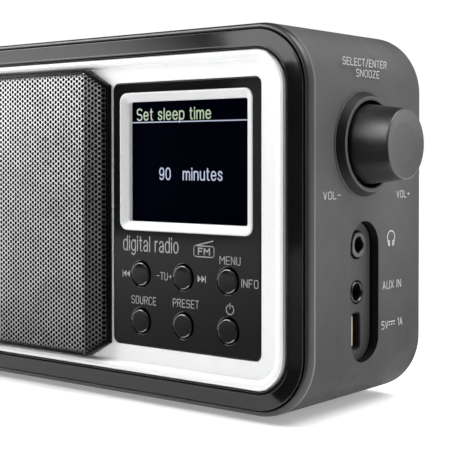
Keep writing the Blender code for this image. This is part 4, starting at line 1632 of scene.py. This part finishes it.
panelWords = [
    # name, words, distance in from the right face, Z, cap height, whole width
    ("wordMenu", "MENU", 27.0, 44.3, 2.15, 7.6),
    ("wordInfo", "INFO", 19.9, 38.3, 2.15, 6.0),
    ("wordTune", "-TU+", 52.0, 38.4, 2.1, 6.1),
    ("wordSource", "SOURCE", 60.2, 30.7, 2.2, 10.1),
    ("wordPreset", "PRESET", 43.5, 31.0, 2.2, 10.1),
]
sideWords = [
    # name, words, Y, Z, cap height, whole width
    ("wordSelect", "SELECT/ENTER", 27.1, 99.9, 1.95, 22.8),
    ("wordSnooze", "SNOOZE", 28.6, 96.9, 1.95, 12.2),
    ("wordVolDown", "VOL-", 10.7, 62.8, 1.95, 8.4),
    ("wordVolUp", "VOL+", 48.0, 62.3, 1.95, 7.6),
    ("wordAux", "AUX IN", 41.7, 35.9, 2.2, 10.2),
    ("wordVolts", "5V", 37.8, 24.3, 2.1, 3.5),
    ("wordAmps", "1A", 46.3, 24.5, 2.1, 2.6),
]
strokeLook = {"width": 0.23, "gap": 0.5}
markWord = {"words": "digital radio", "tall": 4.3, "wide": 22.4, "thick": 0.4, "spot": (57.5, 47.5)}
signSpots = {
    # on the panel: distance in from the right face, then Z; on the side: Y, then Z
    "signBack": (67.5, 38.3),
    "signAhead": (37.4, 38.5),
    "signPower": (27.0, 30.6),
    "radioSet": (36.6, 46.4),
    "signPhones": (41.2, 49.5),
    "signDirect": (41.7, 24.5),
}


def strokeWord(words, tall, wide, thick=None):
    # the word's lines, centred, as flat four-sided shapes in mm
    gap = strokeLook["gap"]
    thick = thick or strokeLook["width"]
    length = sum(glyphs[letter][0] for letter in words) + gap * (len(words) - 1)
    scaleX = (wide - thick) / length
    scaleY = tall / 2
    shapes = []
    start = -length / 2
    for letter in words:
        width, lines = glyphs[letter]
        for line in lines:
            shapes += strip([((start + x) * scaleX, (y - 1) * scaleY) for x, y in line], thick)
        start += width + gap
    return shapes


def onPanel(name, shapes, taken, z, look="panel_ink"):
    sign(name, shapes, (rightFace - taken, panelFace, z), look, frontTurn)


def onSide(name, shapes, y, z):
    sign(name, shapes, (sideFace, y, z), "side_ink", sideTurn)


def makeLettering():
    for name, words, taken, z, tall, wide in panelWords:
        onPanel(name, strokeWord(words, tall, wide), taken, z)
    for name, words, y, z, tall, wide in sideWords:
        onSide(name, strokeWord(words, tall, wide), y, z)
    mark = strokeWord(markWord["words"], markWord["tall"], markWord["wide"], markWord["thick"])
    onPanel("wordDigital", mark, *markWord["spot"], "mark_ink")


def makeSigns():
    # a bar and two triangles, and the same turned round
    skip = [[(-1.5, 1.0), (-1.5, -1.0), (-1.2, -1.0), (-1.2, 1.0)]]
    for start in (-1.2, 0.25):
        skip.append([(start, 0.0), (start + 1.35, -1.0), (start + 1.35, 1.0)])
    onPanel("signBack", skip, *signSpots["signBack"])
    ahead = []
    for shape in skip:
        ahead.append([(-u, v) for u, v in reversed(shape)])
    onPanel("signAhead", ahead, *signSpots["signAhead"])
    # an open ring with an upright stroke in it
    power = strip(arc((0.0, 0.0), 1.35, 118, 422, 24), 0.28)
    power += strip([(0.0, 0.35), (0.0, 1.75)], 0.28)
    onPanel("signPower", power, *signSpots["signPower"])
    # a small set with its whip aerial, and the letters FM
    spot = signSpots["radioSet"]
    onPanel("signSet", strip(outline(7.6, 3.1, 0.8, 4), 0.3, True), *spot, "mark_ink")
    onPanel("signWhip", strip([(-3.0, 1.6), (3.4, 3.1)], 0.34), *spot, "mark_ink")
    onPanel("wordBand", strokeWord("FM", 1.7, 4.6, 0.42), *spot, "mark_ink")
    # headphones: the band, then the two sides of each ear piece and its top
    phones = strip(arc((0.0, 0.3), 1.85, -28, 208, 24, 1.1), 0.38)
    for side in (-1, 1):
        phones += strip([(side * 1.75, -0.6), (side * 1.35, -2.1)], 0.4)
        phones += strip([(side * 0.95, -0.9), (side * 0.85, -2.1)], 0.4)
        phones += strip([(side * 1.85, -0.62), (side * 0.9, -0.85)], 0.36)
    onSide("signPhones", phones, *signSpots["signPhones"])
    # direct current: a full line over a broken one
    direct = strip([(-1.7, 0.45), (1.7, 0.45)], 0.3)
    for start in (-1.7, -0.45, 0.8):
        direct += strip([(start + 0.1, -0.35), (start + 0.6, -0.35)], 0.3)
    onSide("signDirect", direct, *signSpots["signDirect"])


screenWords = {
    # words, distance in from the right face, Z, cap height, whole width
    "header": ("Set sleep time", 51.9, 86.0, 3.3, 29.4),
    "value": ("90   minutes", 45.2, 68.3, 3.4, 24.6),
    "thick": 0.4,
    "line": (83.67, 0.32, 48.6),     # Z, thickness and length of the rule
    "lift": 0.03,
}


def makeScreenWords():
    low, high = local("lcd_module")
    face = low.y - screenShape["lit"][0] - screenWords["lift"]
    finish["glow_header"] = screenGlow("glowHeader", 0.0, "header")
    finish["glow_text"] = screenGlow("glowText", 0.0, "text")
    for name, key, look in (("screenHeader", "header", "glow_header"), ("screenValue", "value", "glow_text")):
        words, taken, z, tall, wide = screenWords[key]
        shapes = strokeWord(words, tall, wide, screenWords["thick"])
        sign(name, shapes, (rightFace - taken, face, z), look, frontTurn)
    z, thick, wide = screenWords["line"]
    bar = strip([(-wide / 2, 0.0), (wide / 2, 0.0)], thick)
    sign("screenLine", bar, (lcdMiddle.x, face, z), "glow_text", frontTurn)


makeLettering()
makeSigns()
makeScreenWords()
print("lettering made")

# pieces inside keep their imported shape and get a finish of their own
insideLooks = {
    "lcd_ribbon": "flex_amber",
    "button_board": "board_green",
    "speaker_basket": "can_steel",
    "speaker_magnet": "magnet_grey",
    "speaker_surround": "rubber_black",
    "speaker_cone": "cone_paper",
    "main_board": "board_green",
    "tuner_can": "can_steel",
    "amplifier_heat_plate": "copper_plate",
    "main_chip": "switch_black",
    "jack_board": "board_green",
    "battery_tray": "cover_black",
    "battery_pack": "sleeve_blue",
    "encoder_shaft": "can_steel",
    "encoder_plunger": "switch_black",
    "encoder_body": "can_steel",
}
for number in range(1, 7):
    insideLooks[f"tact_switch_{number}"] = "switch_black"
for node, look in insideLooks.items():
    carried = frame["nodes"][node]
    carried.data.materials.clear()
    carried.data.materials.append(finish[look])
print("inside pieces finished")

cameraSpot = {
    "away": (177.27, -247.5, 73.2),      # to the right of the cabinet, in front of the bezel, above the table
    "yaw": 37.56,
    "pitch": -1.047,
    "lens": 91.54,
    "shift": (-0.0975, -0.1056),
}


def makeCamera():
    data = bpy.data.cameras.new("camera")
    data.lens = cameraSpot["lens"]
    data.shift_x, data.shift_y = cameraSpot["shift"]
    made = bpy.data.objects.new("camera", data)
    bpy.context.collection.objects.link(made)
    yaw = math.radians(cameraSpot["yaw"])
    pitch = math.radians(cameraSpot["pitch"])
    forward = Vector((-math.sin(yaw) * math.cos(pitch), math.cos(yaw) * math.cos(pitch), math.sin(pitch)))
    right = Vector((math.cos(yaw), math.sin(yaw), 0.0))
    up = right.cross(forward)
    turnTo = Matrix((right, up, -forward)).transposed()
    beside, y, z = cameraSpot["away"]
    made.matrix_world = Matrix.Translation(world((rightFace + beside, y, z))) @ turnTo.to_4x4()
    bpy.context.scene.camera = made


lightLook = {
    "sky": 1.02,
    "patch": 4.2,            # bright patch on the left card, which the bezel and the grille mirror
    "high": 3.0,             # bright patch above it, for the top of the gloss frame
    "spill": 0.42,           # what is left of it on the right card
    "floorPatch": 0.85,      # what the gloss frame mirrors of the floor
    "floor": 0.3,            # the floor's own light
}
softBoxes = [
    # name, where, aimed at, width, height, power, seen in reflections only
    ("leftFront", (-0.48, -0.5, 0.58), (0.0, 0.0, 0.05), 0.75, 0.5, 9.0, False),
    ("rightTop", (0.42, 0.12, 0.78), (0.05, 0.03, 0.08), 0.6, 0.6, 6.0, False),
    ("knobSheen", (-0.13, -0.46, 0.38), (0.12, 0.03, 0.06), 0.32, 0.5, 2.0, True),
]


def sheet(name, corners, paint):
    # one flat four-cornered face of the stage, in metres
    bm = bmesh.new()
    bm.faces.new([bm.verts.new(corner) for corner in corners])
    mesh = bpy.data.meshes.new(name)
    bm.to_mesh(mesh)
    bm.free()
    mesh.materials.append(paint.material)
    made = bpy.data.objects.new(name, mesh)
    bpy.context.collection.objects.link(made)
    return made


def makeFloor():
    half = 4.0
    below = -0.0002          # just under the feet
    corners = [(-half, -half, below), (half, -half, below), (half, half, below), (-half, half, below)]
    paint = Paint("floorWhite")
    paint.set(
        Base_Color=paint.mix(paint.noise(60.0, 2.0), (0.9, 0.9, 0.9, 1.0), (0.92, 0.92, 0.92, 1.0)),
        Emission_Color=(1.0, 1.0, 1.0, 1.0),
    )
    paint.fix(Roughness=0.9, Emission_Strength=lightLook["floor"], Specular_IOR_Level=0.0)
    sheet("floor", corners, paint)


def makeSky():
    sky = bpy.data.worlds.new("sky")
    sky.use_nodes = True
    background = sky.node_tree.nodes["Background"]
    background.inputs["Color"].default_value = (1.0, 1.0, 1.0, 1.0)
    background.inputs["Strength"].default_value = lightLook["sky"]
    bpy.context.scene.world = sky


def makeCard(name, corners, glow=None, glossOnly=False):
    # a studio card that shapes the light but isn't seen itself; its glow is given as the X where it is full,
    # the X where it has gone, its strength, the Z where it is least and full, and the share left at the foot
    paint = Paint(name)
    paint.fix(Base_Color=(0.01, 0.01, 0.01, 1.0), Roughness=1.0, Specular_IOR_Level=0.0)
    if glow:
        start, end, level, lowest, highest, foot = glow
        fade = paint.ramp(paint.along("X"), start * perMetre, end * perMetre, 1.0, 0.0)
        rise = paint.ramp(paint.along("Z"), lowest * perMetre, highest * perMetre, foot, 1.0)
        paint.set(Emission_Color=paint.mix(fade * rise, (0.0, 0.0, 0.0, 1.0), (1.0, 1.0, 1.0, 1.0)))
        paint.fix(Emission_Strength=level)
    made = sheet(name, corners, paint)
    made.visible_camera = False
    if glossOnly:
        made.visible_diffuse = False
        made.visible_shadow = False


def upright(left, right, y, low, high):
    return ((left, y, low), (right, y, low), (right, y, high), (left, y, high))


def flat(left, right, near, far, z):
    return ((left, near, z), (right, near, z), (right, far, z), (left, far, z))


cardPlace = {
    "left": -1.4,
    "split": -0.36,          # where the left card ends and the right one starts
    "right": 1.6,
    "front": -0.55,
    "top": 1.8,
    "patchTop": 0.42,
    "even": (-1.0, -0.9),    # below every card, so the glow doesn't change with the height
}


def makeCards():
    left, split, right = cardPlace["left"], cardPlace["split"], cardPlace["right"]
    front, top, patchTop = cardPlace["front"], cardPlace["top"], cardPlace["patchTop"]
    even = cardPlace["even"]
    glow = (split, -0.2, lightLook["spill"], *even, 0.0)
    makeCard("cardRight", upright(split, right, front, 0.0, top), glow)
    glow = (-0.92, -0.55, lightLook["patch"], 0.0, 0.12, 0.3)
    makeCard("cardLeft", upright(left, split, front, 0.0, patchTop), glow)
    glow = (-0.56, -0.36, lightLook["high"], 0.14, 0.24, 0.0)
    makeCard("cardHigh", upright(-0.75, -0.27, front + 0.006, 0.14, patchTop), glow, True)
    # behind them a white one, for the floor that lies past the cards
    glow = (9.0, 10.0, lightLook["sky"], *even, 1.0)
    makeCard("cardFar", upright(left, right, front - 0.01, 0.0, top), glow)
    # black ones behind the set and over it
    corners = ((-1.3, 0.2, 0.2), (-0.2, 1.3, 0.2), (-0.2, 1.3, 1.5), (-1.3, 0.2, 1.5))
    makeCard("cardBack", corners, None, True)
    makeCard("cardOver", flat(-1.5, 0.4, -0.25, 1.3, 1.3), None, True)
    # what the lower part of the set mirrors of the floor
    low = 0.0005
    edgeY = -0.1
    glow = (-0.5, 0.25, lightLook["floorPatch"], *even, 0.0)
    makeCard("cardFloor", flat(left, right, front, edgeY, low), glow, True)
    makeCard("cardNear", flat(left, right, edgeY, -0.05, low), None, True)


def makeLights():
    for name, where, aim, wide, tall, power, glossOnly in softBoxes:
        data = bpy.data.lights.new(name, "AREA")
        data.shape = "RECTANGLE"
        data.size = wide
        data.size_y = tall
        data.energy = power
        made = bpy.data.objects.new(name, data)
        bpy.context.collection.objects.link(made)
        made.location = where
        made.rotation_mode = "QUATERNION"
        made.rotation_quaternion = (Vector(aim) - Vector(where)).to_track_quat("-Z", "Y")
        made.visible_diffuse = not glossOnly


makeCamera()
makeFloor()
makeSky()
makeCards()
makeLights()
bpy.context.scene.view_settings.view_transform = "Standard"
print("camera and light ready")
